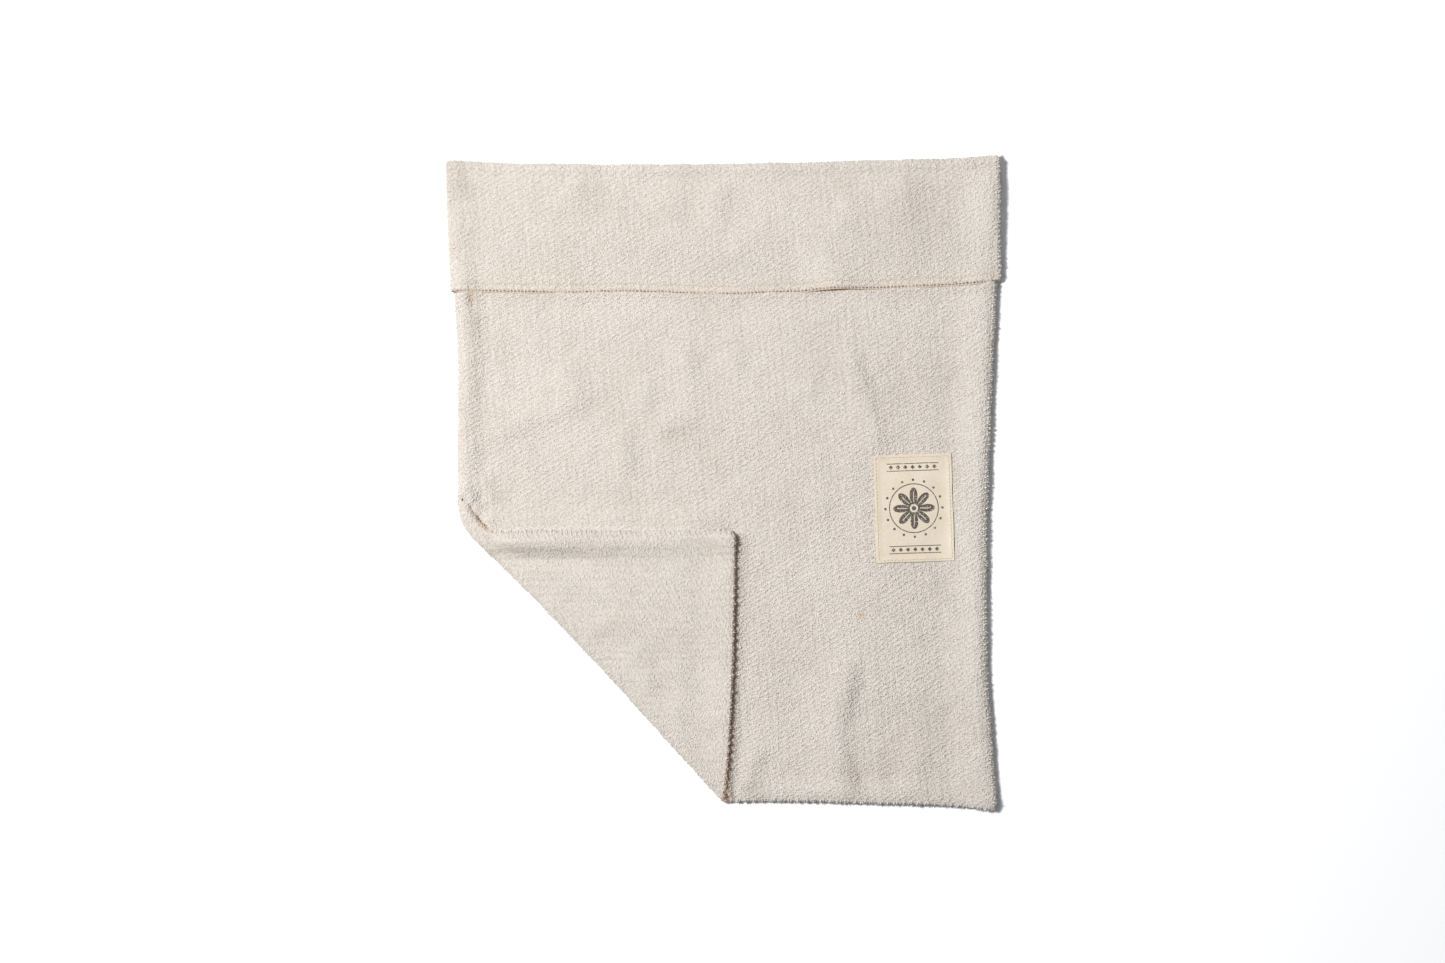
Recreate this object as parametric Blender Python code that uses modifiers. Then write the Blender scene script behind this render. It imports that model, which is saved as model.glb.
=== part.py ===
"""Vegetable storage bag: a pouch of terry knit with a woven label.

The pouch is one piece of cloth. It is laid out flat as a closed tube, then its mouth is rolled over to the
front as a cuff, and its lower left corner, both layers of it, is rolled up over the front.
Sizes are in millimetres until MM turns them into Blender's metres. +X is right, +Y is towards the cuff,
+Z is up. The bag lies on z = 0.
"""

from math import pi, radians

import bmesh
import bpy
import numpy as np
from mathutils import Vector

MM = 0.001

# The knit and the spaces that it leaves
CLOTH = 1.8
POCKET = 0.6
FOLD_SPACE = 1.0
STACK = 2 * CLOTH + POCKET
AXIS_HEIGHT = STACK + FOLD_SPACE / 2
ROLL_RADIUS = AXIS_HEIGHT - STACK / 2
HALF_TURN = pi * ROLL_RADIUS

# The middle of the folded outline, which the finished bag has at its origin
OUTLINE_MIDDLE = Vector((-0.03, -0.44, 0.0))

# The pouch laid flat: across (x) and along (v), v running from the bottom seam to the mouth
BOTTOM = -177.5
CUFF_FOLD = 172.5
CUFF_DEPTH = 70.5
MOUTH = CUFF_FOLD + AXIS_HEIGHT + CUFF_DEPTH - (2 * AXIS_HEIGHT - HALF_TURN)
EDGE_REACH = 1.4
CORNER_ROUND = 4.0

# Side edges of the flat pouch: along, x
LEFT_EDGE = (
    (-178.0, -151.6),
    (-154.0, -150.1),
    (-98.0, -145.8),
    (-60.0, -143.0),
    (-47.0, -141.8),
    (-40.0, -142.4),
    (-35.0, -144.6),
    (-30.0, -147.6),
    (-25.0, -148.4),
    (-20.0, -147.6),
    (-12.0, -147.1),
    (10.0, -147.5),
    (75.0, -147.6),
    (107.0, -149.6),
    (140.0, -152.5),
    (176.0, -153.6),
    (215.0, -152.8),
    (250.0, -150.8),
)
RIGHT_EDGE = (
    (-182.0, 153.1),
    (-150.0, 150.8),
    (-120.0, 149.2),
    (-60.0, 148.0),
    (0.0, 147.5),
    (60.0, 148.6),
    (107.0, 149.7),
    (140.0, 152.0),
    (176.0, 153.0),
    (215.0, 153.2),
    (250.0, 153.6),
)
# How far the seam lies from BOTTOM: x, shift. The rows of the cloth follow it fully up to the first v of
# SEAM_FADE, and not at all from the second
SEAM_FADE = (-163.5, -100.0)
SEAM_LINE = (
    (-152.0, 3.4),
    (-106.0, 1.4),
    (-60.0, 0.0),
    (0.0, 0.0),
    (45.0, -0.1),
    (98.0, -1.8),
    (132.0, -4.0),
    (154.0, -4.6),
)
# How far the cuff's fold and its mouth edge wander along y: x, fold, mouth
CUFF_LINES = (
    (-154.0, 2.3, 1.0),
    (-140.0, 1.2, 0.9),
    (-110.0, 0.1, 0.4),
    (-60.0, -0.5, 0.3),
    (0.0, -0.1, -0.1),
    (40.0, 0.5, -0.4),
    (65.0, 1.3, 1.4),
    (110.0, 2.4, 2.0),
    (140.0, 3.6, 3.2),
    (154.0, 5.0, 5.6),
)

# The diagonal fold of the corner: the way it faces, where its axis lies along that way, and its own bend
CORNER_WAY = Vector((-0.7320, -0.6813))
CORNER_ALONG = Vector((0.6813, -0.7320))
CORNER_REACH = 122.0
CORNER_FOLD = CORNER_REACH - AXIS_HEIGHT
# The turned corner covers the front left of this x and below this y
CORNER_COVERS = (4.0, -28.5)
# Along the fold, outward shift, which fades out this far in from the fold
BEND_FADE = 30.0
CORNER_BEND = (
    (-90.0, 0.0),
    (-76.0, 1.4),
    (-62.0, 0.2),
    (-30.0, -1.2),
    (26.0, -1.6),
    (80.0, -1.0),
    (128.0, 0.0),
)

# Side rolls and the seam's ridge: distance in of the crest, its width and rise, then of the groove behind it
ROLLS = {
    "left": (3.6, 3.4, 0.9, 9.5, 4.5, 0.65),
    "right": (9.5, 7.0, 1.7, 23.0, 7.0, 0.55),
    "seam": (8.5, 5.0, 0.7, 17.0, 6.0, 0.25),
}
# The side rolls go on over the cuff at these shares of their height: left, right
CUFF_ROLLS = (0.6, 0.5)
# The top layer stands this much higher where nothing lies on it: on the front, and on the cuff and the corner
FRONT_LOFT = 0.7
TURNED_LOFT = 0.45
# Ridges and dents of the front: middle x, middle y, half length, turn in degrees, half width, rise
FRONT_CREASES = (
    (72.0, 52.0, 34.0, -66.0, 8.0, 1.2),
    (66.0, -139.0, 40.0, -84.0, 11.0, 1.6),
    (17.0, -160.0, 14.0, -60.0, 9.0, 0.7),
    (-104.0, 33.0, 34.0, 17.0, 7.0, 0.6),
    (-60.0, 28.0, 22.0, -52.0, 7.0, 0.5),
    (-44.0, 54.0, 13.0, 0.0, 9.0, -0.5),
    (-24.0, 26.0, 12.0, 20.0, 9.0, -0.5),
    (26.0, -119.0, 14.0, 10.0, 9.0, -0.5),
)
CORNER_CREASES = (
    (-62.0, -82.0, 14.0, 30.0, 8.0, 0.8),
    (-30.0, -119.0, 12.0, -50.0, 9.0, -0.35),
    (-21.0, -136.0, 12.0, -60.0, 8.0, -0.3),
    (-40.0, -60.0, 30.0, -60.0, 14.0, 0.4),
)
CUFF_CREASES = (
    (-77.0, 163.0, 12.0, -90.0, 9.0, -0.4),
    (-10.0, 160.0, 16.0, -90.0, 9.0, 0.7),
    (7.0, 160.0, 12.0, -80.0, 6.0, -0.4),
    (46.0, 122.0, 18.0, -60.0, 9.0, 0.9),
    (96.0, 124.0, 16.0, -90.0, 8.0, 0.7),
    (118.0, 158.0, 14.0, -90.0, 9.0, -0.4),
)
# Where the cuff's edge stands off the front: middle x, half width, lift, which fades out this far up the cuff
CUFF_LIFTS = (
    (70.0, 16.0, 2.0),
    (118.0, 14.0, 0.6),
    (-118.0, 22.0, 0.4),
)
LIFT_FADE = 26.0

# Steps of the flat pouch, in from its left and right edges and its seam
LEFT_STEPS = (3.6, 6.5, 10.0, 15.0)
RIGHT_STEPS = (5.5, 9.5, 14.0, 19.0, 25.0)
SEAM_STEPS = (5.0, 8.5, 13.0, 19.0)
# Between those steps: share of the width reached, columns up to there (closer where the long creases lie)
INNER_COLUMNS = ((0.67, 12), (0.84, 6), (1.0, 2))
# Rows of the body: v reached, rows up to there (closer where the side edge enters the diagonal fold)
BODY_ROWS = ((-45.0, 9), (-15.0, 6), (94.0, 9))
HIDDEN_ROWS = 3
CUFF_ROWS = 5
EDGE_TURN = 3
FOLD_TURN = 8
# A vertex this close to a cutting line counts as on it, and two this close to each other as one
CUT_SNAP = 0.1
WELD = 1e-4

# The label
LABEL_WIDTH, LABEL_HEIGHT, LABEL_THICK = 43.5, 60.0, 0.8
LABEL_AT = (106.2, -14.9)
LABEL_TURN = radians(1.9)
LABEL_CLEAR = 0.45


def along_table(rows, at, column=1):
    """Value of one column of a table at each place, running smoothly through its rows."""
    table = np.array(rows, float)
    knots, values = table[:, 0], table[:, column]
    slopes = np.gradient(values, knots)
    at = np.clip(at, knots[0], knots[-1])
    span = np.clip(np.searchsorted(knots, at, side="right") - 1, 0, len(knots) - 2)
    width = knots[span + 1] - knots[span]
    t = (at - knots[span]) / width
    start = (2 * t**3 - 3 * t**2 + 1) * values[span] + (t**3 - 2 * t**2 + t) * width * slopes[span]
    end = (3 * t**2 - 2 * t**3) * values[span + 1] + (t**3 - t**2) * width * slopes[span + 1]
    return start + end


def ease(value, low, high):
    """0 below low, 1 above high, and a smooth rise between them."""
    t = np.clip((value - low) / (high - low), 0.0, 1.0)
    return t * t * (3 - 2 * t)


def edge_round(distance):
    """How far the layers stand apart, from 0 on a closed edge to 1 at EDGE_REACH in from it."""
    t = 1 - np.clip(distance / EDGE_REACH, 0.0, 1.0)
    return np.sqrt(1 - t * t)


def edge_stations():
    """Distances in from a closed edge at which its rounding is stepped."""
    return [EDGE_REACH * (1 - np.cos(0.5 * pi * k / EDGE_TURN)) for k in range(EDGE_TURN + 1)]


def column_stations():
    """(share of the width, offset) of each column of the flat pouch, from left to right."""
    left = edge_stations() + list(LEFT_STEPS)
    right = edge_stations() + list(RIGHT_STEPS)
    columns = [(0.0, d) for d in left]
    reached = 0.0
    for share, count in INNER_COLUMNS:
        for t in np.linspace(reached, share, count + 1)[1:]:
            columns.append((t, left[-1] * (1 - t) - right[-1] * t))
        reached = share
    return columns[:-1] + [(1.0, -d) for d in reversed(right)]


def row_stations():
    """v of each row of the flat pouch, from the bottom seam to the mouth."""
    rows = [BOTTOM + d for d in edge_stations() + list(SEAM_STEPS)]
    fold_end = CUFF_FOLD + HALF_TURN
    for reached, count in BODY_ROWS + ((CUFF_FOLD, HIDDEN_ROWS), (fold_end, FOLD_TURN), (MOUTH, CUFF_ROWS)):
        rows.extend(np.linspace(rows[-1], reached, count + 1)[1:])
    return np.array(rows)


def ridges(rows, x, y):
    """Sum of long soft mounds, one for each row of a creases table."""
    total = np.zeros_like(x)
    for middle_x, middle_y, half_length, turn, half_width, rise in rows:
        way_x, way_y = np.cos(radians(turn)), np.sin(radians(turn))
        length = (x - middle_x) * way_x + (y - middle_y) * way_y
        across = (y - middle_y) * way_x - (x - middle_x) * way_y
        total += rise * np.exp(-((length / half_length) ** 4) - (across / half_width) ** 2)
    return total


def roll(name, distance):
    """Rise of one side roll, and of the groove behind it, at a distance in from its edge."""
    crest, crest_width, rise, groove, groove_width, dip = ROLLS[name]
    up = rise * np.exp(-(((distance - crest) / crest_width) ** 2))
    return up - dip * np.exp(-(((distance - groove) / groove_width) ** 2))


def past_corner(x, v):
    """Distance past the axis of the diagonal fold, on the flat pouch."""
    return CORNER_WAY.x * x + CORNER_WAY.y * v - CORNER_FOLD


def front_relief(x, v):
    """Rise of the front layer where it shows, in flat coordinates, above a bag pressed flat."""
    left = x - along_table(LEFT_EDGE, v)
    right = along_table(RIGHT_EDGE, v) - x
    seam = v - BOTTOM - along_table(SEAM_LINE, x)
    cuff_edge = CUFF_FOLD + AXIS_HEIGHT - CUFF_DEPTH
    beside = np.maximum(x - CORNER_COVERS[0], v - CORNER_COVERS[1])
    open_here = ease(cuff_edge - v, 2.0, 17.0) * ease(beside, 1.0, 15.0) * ease(-past_corner(x, v), 2.0, 14.0)
    rise = FRONT_LOFT + roll("left", left) + roll("right", right) + roll("seam", seam)
    return open_here * (rise + ridges(FRONT_CREASES, x, v))


def turned_relief(x, v):
    """Rise of the back layer where it shows, on the cuff and on the corner, above a fold pressed flat."""
    left = x - along_table(LEFT_EDGE, v)
    right = along_table(RIGHT_EDGE, v) - x
    seam = v - BOTTOM - along_table(SEAM_LINE, x)
    on_cuff = v - CUFF_FOLD - HALF_TURN
    cuff_y = CUFF_FOLD - on_cuff
    cuff_rolls = CUFF_ROLLS[0] * roll("left", left) + CUFF_ROLLS[1] * roll("right", right)
    cuff = TURNED_LOFT + cuff_rolls + ridges(CUFF_CREASES, x, cuff_y)
    on_corner = past_corner(x, v) - HALF_TURN
    back = on_corner + past_corner(x, v)
    corner_x, corner_y = x - back * CORNER_WAY.x, v - back * CORNER_WAY.y
    corner_rolls = roll("left", left) + roll("seam", seam)
    corner = TURNED_LOFT + corner_rolls + ridges(CORNER_CREASES, corner_x, corner_y)
    return ease(on_cuff, 1.0, 12.0) * cuff + ease(on_corner, 1.0, 12.0) * corner


def roll_over(distance, height):
    """(distance, height) after a fold's roll of points that lie this far past its axis when flat."""
    angle = np.clip(distance / ROLL_RADIUS, 0.0, pi)
    radius = AXIS_HEIGHT - height
    along = np.where(distance < HALF_TURN, radius * np.sin(angle), HALF_TURN - distance)
    rolled = AXIS_HEIGHT - radius * np.cos(angle)
    return np.where(distance > 0, along, distance), np.where(distance > 0, rolled, height)


def folded(x, v, height):
    """Takes points of the flat pouch to where they lie on the folded bag."""
    on_cuff = v > CUFF_FOLD + 0.5 * HALF_TURN
    y, z = roll_over(v - CUFF_FOLD, height)
    y = y + CUFF_FOLD
    # The cuff's fold and its edge wander, and its edge stands off in places
    edge = CUFF_FOLD + AXIS_HEIGHT - CUFF_DEPTH
    near_fold = ease(y, edge, CUFF_FOLD + AXIS_HEIGHT)
    fold_shift = near_fold * along_table(CUFF_LINES, x, 1)
    mouth_shift = (1 - near_fold) * along_table(CUFF_LINES, x, 2)
    y = y + np.where(on_cuff, fold_shift + mouth_shift, fold_shift)
    lift = sum(rise * np.exp(-(((x - at) / width) ** 2)) for at, width, rise in CUFF_LIFTS)
    z = z + np.where(on_cuff, lift * ease(edge + LIFT_FADE - y, 0.0, LIFT_FADE), 0.0)
    # The corner turns about its own axis
    past = CORNER_WAY.x * x + CORNER_WAY.y * y - CORNER_FOLD
    turned, z = roll_over(past, z)
    x = x + (turned - past) * CORNER_WAY.x
    y = y + (turned - past) * CORNER_WAY.y
    along = CORNER_ALONG.x * x + CORNER_ALONG.y * y
    bend = along_table(CORNER_BEND, along) * np.exp(-(((turned - AXIS_HEIGHT) / BEND_FADE) ** 2))
    return x + bend * CORNER_WAY.x, y + bend * CORNER_WAY.y, z


def move_vertices(mesh, place):
    """Sends every vertex of a bmesh through place, a function of (x, y, z) arrays."""
    now = np.array([vertex.co for vertex in mesh.verts])
    moved = np.stack(place(now[:, 0], now[:, 1], now[:, 2]), axis=1)
    for vertex, spot in zip(mesh.verts, moved):
        vertex.co = spot


def rounded_corners(x, v, left, right):
    """Draws the two bottom corners of the flat pouch in to a round."""
    seam = BOTTOM + along_table(SEAM_LINE, x)
    side = np.maximum(1 - (x - left) / CORNER_ROUND, 1 - (right - x) / CORNER_ROUND).clip(0, 1)
    low = (1 - (v - seam) / CORNER_ROUND).clip(0, 1)
    inward = np.where(x < 0, 1.0, -1.0)
    drawn_x = CORNER_ROUND * side * (1 - np.sqrt(1 - low**2 / 2))
    drawn_v = CORNER_ROUND * low * (1 - np.sqrt(1 - side**2 / 2))
    return x + inward * drawn_x, v + drawn_v


def flat_layer(side):
    """The function that places a grid as one layer of the flat pouch: side 1 is the front, -1 the back."""
    columns = np.array(column_stations())
    rows = row_stations()

    def place(across, along, _):
        column = columns[np.rint(across).astype(int)]
        v = rows[np.rint(along).astype(int)]
        left, right = along_table(LEFT_EDGE, v), along_table(RIGHT_EDGE, v)
        x = left + (right - left) * column[:, 0] + column[:, 1]
        apart = edge_round(x - left) * edge_round(right - x) * edge_round(v - BOTTOM)
        v = v + along_table(SEAM_LINE, x) * (1 - ease(v, *SEAM_FADE))
        x, v = rounded_corners(x, v, left, right)
        relief = front_relief(x, v) if side > 0 else turned_relief(x, v)
        return x, v, STACK / 2 + side * apart * ((CLOTH + POCKET) / 2 + relief)

    return place


def flat_pouch():
    """The middle surface of the flat pouch: two layers joined along their sides and bottom."""
    mesh = bmesh.new()
    across, along = len(column_stations()) - 1, len(row_stations()) - 1
    for side in (1, -1):
        layer = bmesh.new()
        bmesh.ops.create_grid(layer, x_segments=across, y_segments=along, size=1.0)
        move_vertices(layer, lambda x, y, z: ((x + 1) * across / 2, (y + 1) * along / 2, z))
        move_vertices(layer, flat_layer(side))
        if side < 0:
            bmesh.ops.reverse_faces(layer, faces=layer.faces[:])
        held = bpy.data.meshes.new("layer")
        layer.to_mesh(held)
        layer.free()
        mesh.from_mesh(held)
        bpy.data.meshes.remove(held)
    bmesh.ops.remove_doubles(mesh, verts=mesh.verts[:], dist=WELD)
    return mesh


def thickened(surface, thickness):
    """A middle surface given its thickness, half on each side, as a closed bmesh."""
    mesh = bpy.data.meshes.new("flat")
    surface.to_mesh(mesh)
    surface.free()
    flat = bpy.data.objects.new("flat", mesh)
    bpy.context.scene.collection.objects.link(flat)
    thick = flat.modifiers.new("cloth thickness", "SOLIDIFY")
    thick.thickness = thickness
    thick.offset = 0.0
    thick.use_even_offset = True
    thick.use_rim = True
    bpy.context.view_layer.update()
    solid = bmesh.new()
    solid.from_object(flat, bpy.context.evaluated_depsgraph_get())
    bpy.data.objects.remove(flat, do_unlink=True)
    bpy.data.meshes.remove(mesh)
    return solid


def in_metres(mesh):
    """Sets the bag's outline about the origin and turns its millimetres into metres."""
    bmesh.ops.translate(mesh, vec=-OUTLINE_MIDDLE, verts=mesh.verts[:])
    bmesh.ops.scale(mesh, vec=(MM, MM, MM), verts=mesh.verts[:])
    return mesh


def cut_fold_lines(mesh):
    """Cuts the flat pouch along the lines at which the diagonal fold turns."""
    for k in range(FOLD_TURN + 1):
        reach = CORNER_FOLD + HALF_TURN * k / FOLD_TURN
        bmesh.ops.bisect_plane(
            mesh,
            geom=mesh.verts[:] + mesh.edges[:] + mesh.faces[:],
            dist=CUT_SNAP,
            plane_co=(CORNER_WAY.x * reach, CORNER_WAY.y * reach, 0.0),
            plane_no=(CORNER_WAY.x, CORNER_WAY.y, 0.0),
        )


def join_level_faces(mesh, level):
    """Joins the flat faces that lie at one height, which need no steps of their own."""
    flat = {face for face in mesh.faces if all(abs(vertex.co.z - level) < WELD for vertex in face.verts)}
    inner = [edge for edge in mesh.edges if edge.link_faces and all(face in flat for face in edge.link_faces)]
    bmesh.ops.dissolve_limit(mesh, angle_limit=radians(0.1), edges=inner, verts=[])


def folded_pouch():
    """The finished pouch, in metres: flat, thickened, cut where it turns, then folded."""
    mesh = thickened(flat_pouch(), CLOTH)
    cut_fold_lines(mesh)
    move_vertices(mesh, folded)
    join_level_faces(mesh, 0.0)
    join_level_faces(mesh, CLOTH)
    bmesh.ops.triangulate(mesh, faces=[face for face in mesh.faces if len(face.verts) > 4])
    return in_metres(mesh)


def label_surface():
    """The middle surface of the label, lying on the front."""
    mesh = bmesh.new()
    bmesh.ops.create_grid(mesh, x_segments=6, y_segments=8, size=0.5)

    def place(u, w, _):
        x, y = u * LABEL_WIDTH, w * LABEL_HEIGHT
        turned_x = LABEL_AT[0] + x * np.cos(LABEL_TURN) - y * np.sin(LABEL_TURN)
        turned_y = LABEL_AT[1] + x * np.sin(LABEL_TURN) + y * np.cos(LABEL_TURN)
        z = STACK + front_relief(turned_x, turned_y) + LABEL_CLEAR + LABEL_THICK / 2
        return turned_x, turned_y, z

    move_vertices(mesh, place)
    return in_metres(mesh)


def cloth_material(name, colour, roughness):
    """A matt woven or knitted material."""
    material = bpy.data.materials.new(name)
    material.use_nodes = True
    shader = material.node_tree.nodes["Principled BSDF"]
    shader.inputs["Base Color"].default_value = (*colour, 1.0)
    shader.inputs["Roughness"].default_value = roughness
    shader.inputs["Metallic"].default_value = 0.0
    return material


def cloth_object(name, surface, material, collection):
    """Makes a named object of a bmesh."""
    mesh = bpy.data.meshes.new(name)
    surface.to_mesh(mesh)
    surface.free()
    mesh.materials.append(material)
    mesh.shade_smooth()
    piece = bpy.data.objects.new(name, mesh)
    collection.objects.link(piece)
    return piece


def main():
    for old in list(bpy.data.objects):
        bpy.data.objects.remove(old, do_unlink=True)
    bag = bpy.data.collections.new("vegetable_storage_bag")
    bpy.context.scene.collection.children.link(bag)
    knit = cloth_material("cotton_terry_knit", (0.70, 0.63, 0.55), 0.95)
    weave = cloth_material("woven_cotton_label", (0.70, 0.62, 0.50), 0.85)
    cloth_object("bag_cloth", folded_pouch(), knit, bag)
    label = cloth_object("label", label_surface(), weave, bag)
    thick = label.modifiers.new("label thickness", "SOLIDIFY")
    thick.thickness = LABEL_THICK * MM
    thick.offset = 0.0
    thick.use_even_offset = True


main()
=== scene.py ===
"""Looks of the vegetable storage bag: a terry pouch with a turned-down cuff, a folded corner and a label."""

import logging
from collections.abc import Callable, Iterator
from dataclasses import dataclass
from enum import Enum
from functools import cached_property, partial
from math import ceil, cos, floor, pi, radians, sin

import bmesh
import bpy
import numpy as np
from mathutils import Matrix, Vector


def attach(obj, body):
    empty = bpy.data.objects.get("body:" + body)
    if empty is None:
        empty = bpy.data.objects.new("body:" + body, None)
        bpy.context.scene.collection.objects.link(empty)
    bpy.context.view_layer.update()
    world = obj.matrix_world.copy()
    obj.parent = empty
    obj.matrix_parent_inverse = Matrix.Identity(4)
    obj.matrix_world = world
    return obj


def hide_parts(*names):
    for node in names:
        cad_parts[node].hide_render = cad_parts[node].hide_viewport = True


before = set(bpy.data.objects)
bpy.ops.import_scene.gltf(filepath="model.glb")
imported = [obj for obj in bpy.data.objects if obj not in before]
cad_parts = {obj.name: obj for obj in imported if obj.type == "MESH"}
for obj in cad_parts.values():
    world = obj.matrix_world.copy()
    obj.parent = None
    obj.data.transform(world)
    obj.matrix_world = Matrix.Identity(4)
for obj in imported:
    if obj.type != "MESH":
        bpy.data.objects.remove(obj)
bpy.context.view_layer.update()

LOG = logging.getLogger("bag")
MM = 0.001
BODY = "root"
Pair = tuple[float, float]
Sizes = tuple[float, ...]
Table = tuple[Sizes, ...]
Tint = tuple[float, float, float]
Numbers = np.ndarray
Surface = Callable[[Numbers, Numbers], Numbers]
Draw = np.random.Generator
Material, Mesh, Piece = bpy.types.Material, bpy.types.Mesh, bpy.types.Object


def through(rows: Table, at: Numbers, column: int = 1) -> Numbers:
    """Reads one column of a table as a smooth curve through its rows (a cubic with the rows' own slopes).

    Args:
        rows: Table whose first column is the place along.
        at: Places to read.
        column: Column to read.

    Returns:
        The column's value at each place.
    """
    table = np.array(rows, float)
    knots, values = table[:, 0], table[:, column]
    slopes = np.gradient(values, knots)
    at = np.clip(at, knots[0], knots[-1])
    span = np.clip(np.searchsorted(knots, at, side="right") - 1, 0, len(knots) - 2)
    width = knots[span + 1] - knots[span]
    t = (at - knots[span]) / width
    start = (2 * t**3 - 3 * t**2 + 1) * values[span] + (t**3 - 2 * t**2 + t) * width * slopes[span]
    end = (3 * t**2 - 2 * t**3) * values[span + 1] + (t**3 - t**2) * width * slopes[span + 1]
    return start + end


def ease(value: Numbers, low: float, high: float) -> Numbers:
    """Rises smoothly from 0 at low to 1 at high: 3t^2 - 2t^3."""
    t = np.clip((value - low) / (high - low), 0.0, 1.0)
    return t * t * (3 - 2 * t)


def bell(distance: Numbers, before: float, after: float | None = None) -> Numbers:
    """Bell curve exp(-(distance / width)^2) with one width below 0 and, if it is given, another above."""
    return np.exp(-((distance / np.where(distance < 0, before, before if after is None else after)) ** 2))


def ridges(rows: Table, x: Numbers, y: Numbers) -> Numbers:
    """Adds long soft ridges, each rise * exp(-(along / half length)^4) * a bell across with two widths.

    Args:
        rows: Middle x, middle y, half length, turn in degrees, left and right flank's width, rise. Left and
            right are those of someone who walks along the ridge.
        x: Places across.
        y: Places along.

    Returns:
        The height at each place.
    """
    total = np.zeros_like(x)
    for middle_x, middle_y, half_length, turn, left, right, rise in rows:
        way_x, way_y = cos(radians(turn)), sin(radians(turn))
        length = (x - middle_x) * way_x + (y - middle_y) * way_y
        across = (y - middle_y) * way_x - (x - middle_x) * way_y
        total += rise * np.exp(-((length / half_length) ** 4)) * bell(across, right, left)
    return total


def unit(vectors: Numbers) -> Numbers:
    """The same vectors, one long."""
    return vectors / np.maximum(np.linalg.norm(vectors, axis=-1, keepdims=True), 1e-12)


def ripple(x: Numbers, y: Numbers, seed: int, shortest: float, longest: float, count: int = 28) -> Numbers:
    """Adds many plane waves of random way and phase, each as high as it is long.

    Args:
        x: Places across, in millimetres.
        y: Places along, in millimetres.
        seed: Seed of the draw.
        shortest: Shortest wave.
        longest: Longest wave.
        count: Number of waves.

    Returns:
        A height of about 1 at most, mean 0.
    """
    draw = np.random.default_rng(seed)
    length = shortest * (longest / shortest) ** draw.random(count)
    way, phase = draw.random(count) * 2 * pi, draw.random(count) * 2 * pi
    total = np.zeros_like(x)
    for size, turn, start in zip(length, way, phase):
        total += size * np.cos(2 * pi * (x * cos(turn) + y * sin(turn)) / size + start)
    return total / np.sqrt((length**2).sum() / 2) / 2


@dataclass(frozen=True)
class Faces:
    """Faces of a mesh as whole arrays: the vertices of every face in turn, and how many each face has."""

    loops: Numbers
    sizes: Numbers

    @staticmethod
    def of(*groups: Numbers) -> "Faces":
        """Takes arrays of faces, each with one face in a row."""
        return Faces(
            np.concatenate([group.ravel() for group in groups]).astype(np.int64),
            np.concatenate([np.full(len(group), group.shape[1]) for group in groups]),
        )

    @cached_property
    def starts(self) -> Numbers:
        """The first loop of each face."""
        return np.concatenate([[0], np.cumsum(self.sizes)[:-1]])

    @cached_property
    def owner(self) -> Numbers:
        """The face of each loop."""
        return np.repeat(np.arange(len(self.sizes)), self.sizes)

    def flipped(self) -> "Faces":
        """The same faces, facing the other way."""
        within = np.arange(len(self.loops)) - self.starts[self.owner]
        return Faces(self.loops[self.starts[self.owner] + self.sizes[self.owner] - 1 - within], self.sizes)

    def moved_on(self, count: int) -> "Faces":
        """The same faces, of vertices that come count later."""
        return Faces(self.loops + count, self.sizes)

    def __add__(self, other: "Faces") -> "Faces":
        """Both sets of faces, one after the other."""
        return Faces(np.concatenate([self.loops, other.loops]), np.concatenate([self.sizes, other.sizes]))


def quads(rows: Numbers) -> Numbers:
    """The quads between neighbouring rows and columns of an array of vertex numbers."""
    corners = [rows[:-1, :-1], rows[:-1, 1:], rows[1:, 1:], rows[1:, :-1]]
    return np.stack([corner.ravel() for corner in corners], axis=1)


def make_mesh(name: str, points: Numbers, faces: Faces) -> Mesh:
    """Puts whole arrays into a new mesh.

    Args:
        name: Its name.
        points: Its vertices.
        faces: Its faces.

    Returns:
        The mesh, shaded smooth.
    """
    mesh = bpy.data.meshes.new(name)
    mesh.vertices.add(len(points))
    mesh.vertices.foreach_set("co", np.ascontiguousarray(points, np.float32).ravel())
    mesh.loops.add(len(faces.loops))
    mesh.loops.foreach_set("vertex_index", faces.loops.astype(np.int32))
    mesh.polygons.add(len(faces.sizes))
    mesh.polygons.foreach_set("loop_start", faces.starts.astype(np.int32))
    mesh.update(calc_edges=True)
    mesh.shade_smooth()
    return mesh


def read(items: bpy.types.bpy_prop_collection, name: str, kind: type, wide: int = 1) -> Numbers:
    """Reads one property of every item of a mesh's data into an array.

    Args:
        items: The mesh's vertices, loops or polygons.
        name: The property.
        kind: Kind of number that it holds.
        wide: How many numbers an item has.

    Returns:
        All the numbers in a row.
    """
    values = np.empty(len(items) * wide, kind)
    items.foreach_get(name, values)
    return values


def add_map(mesh: Mesh, name: str, places: Numbers) -> None:
    """Gives a mesh a UV map with one place for each loop."""
    layer = mesh.uv_layers.new(name=name, do_init=False)
    layer.uv.foreach_set("vector", places.astype(np.float32).ravel())


def add_object(name: str, data: bpy.types.ID) -> Piece:
    """Makes an object and puts it into the scene."""
    made = bpy.data.objects.new(name, data)
    bpy.context.scene.collection.objects.link(made)
    return made


def add_piece(name: str, mesh: Mesh, material: Material) -> Piece:
    """Makes a piece of a mesh, which rides on the bag and has the finish it is given.

    Args:
        name: The piece's name.
        mesh: Its mesh, in place.
        material: Its finish.

    Returns:
        The new object.
    """
    mesh.materials.clear()
    mesh.materials.append(material)
    piece = add_object(name, mesh)
    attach(piece, BODY)
    triangles = sum(len(face.vertices) - 2 for face in mesh.polygons)
    LOG.info("%s: %d vertices, %d triangles", name, len(mesh.vertices), triangles)
    return piece


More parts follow.
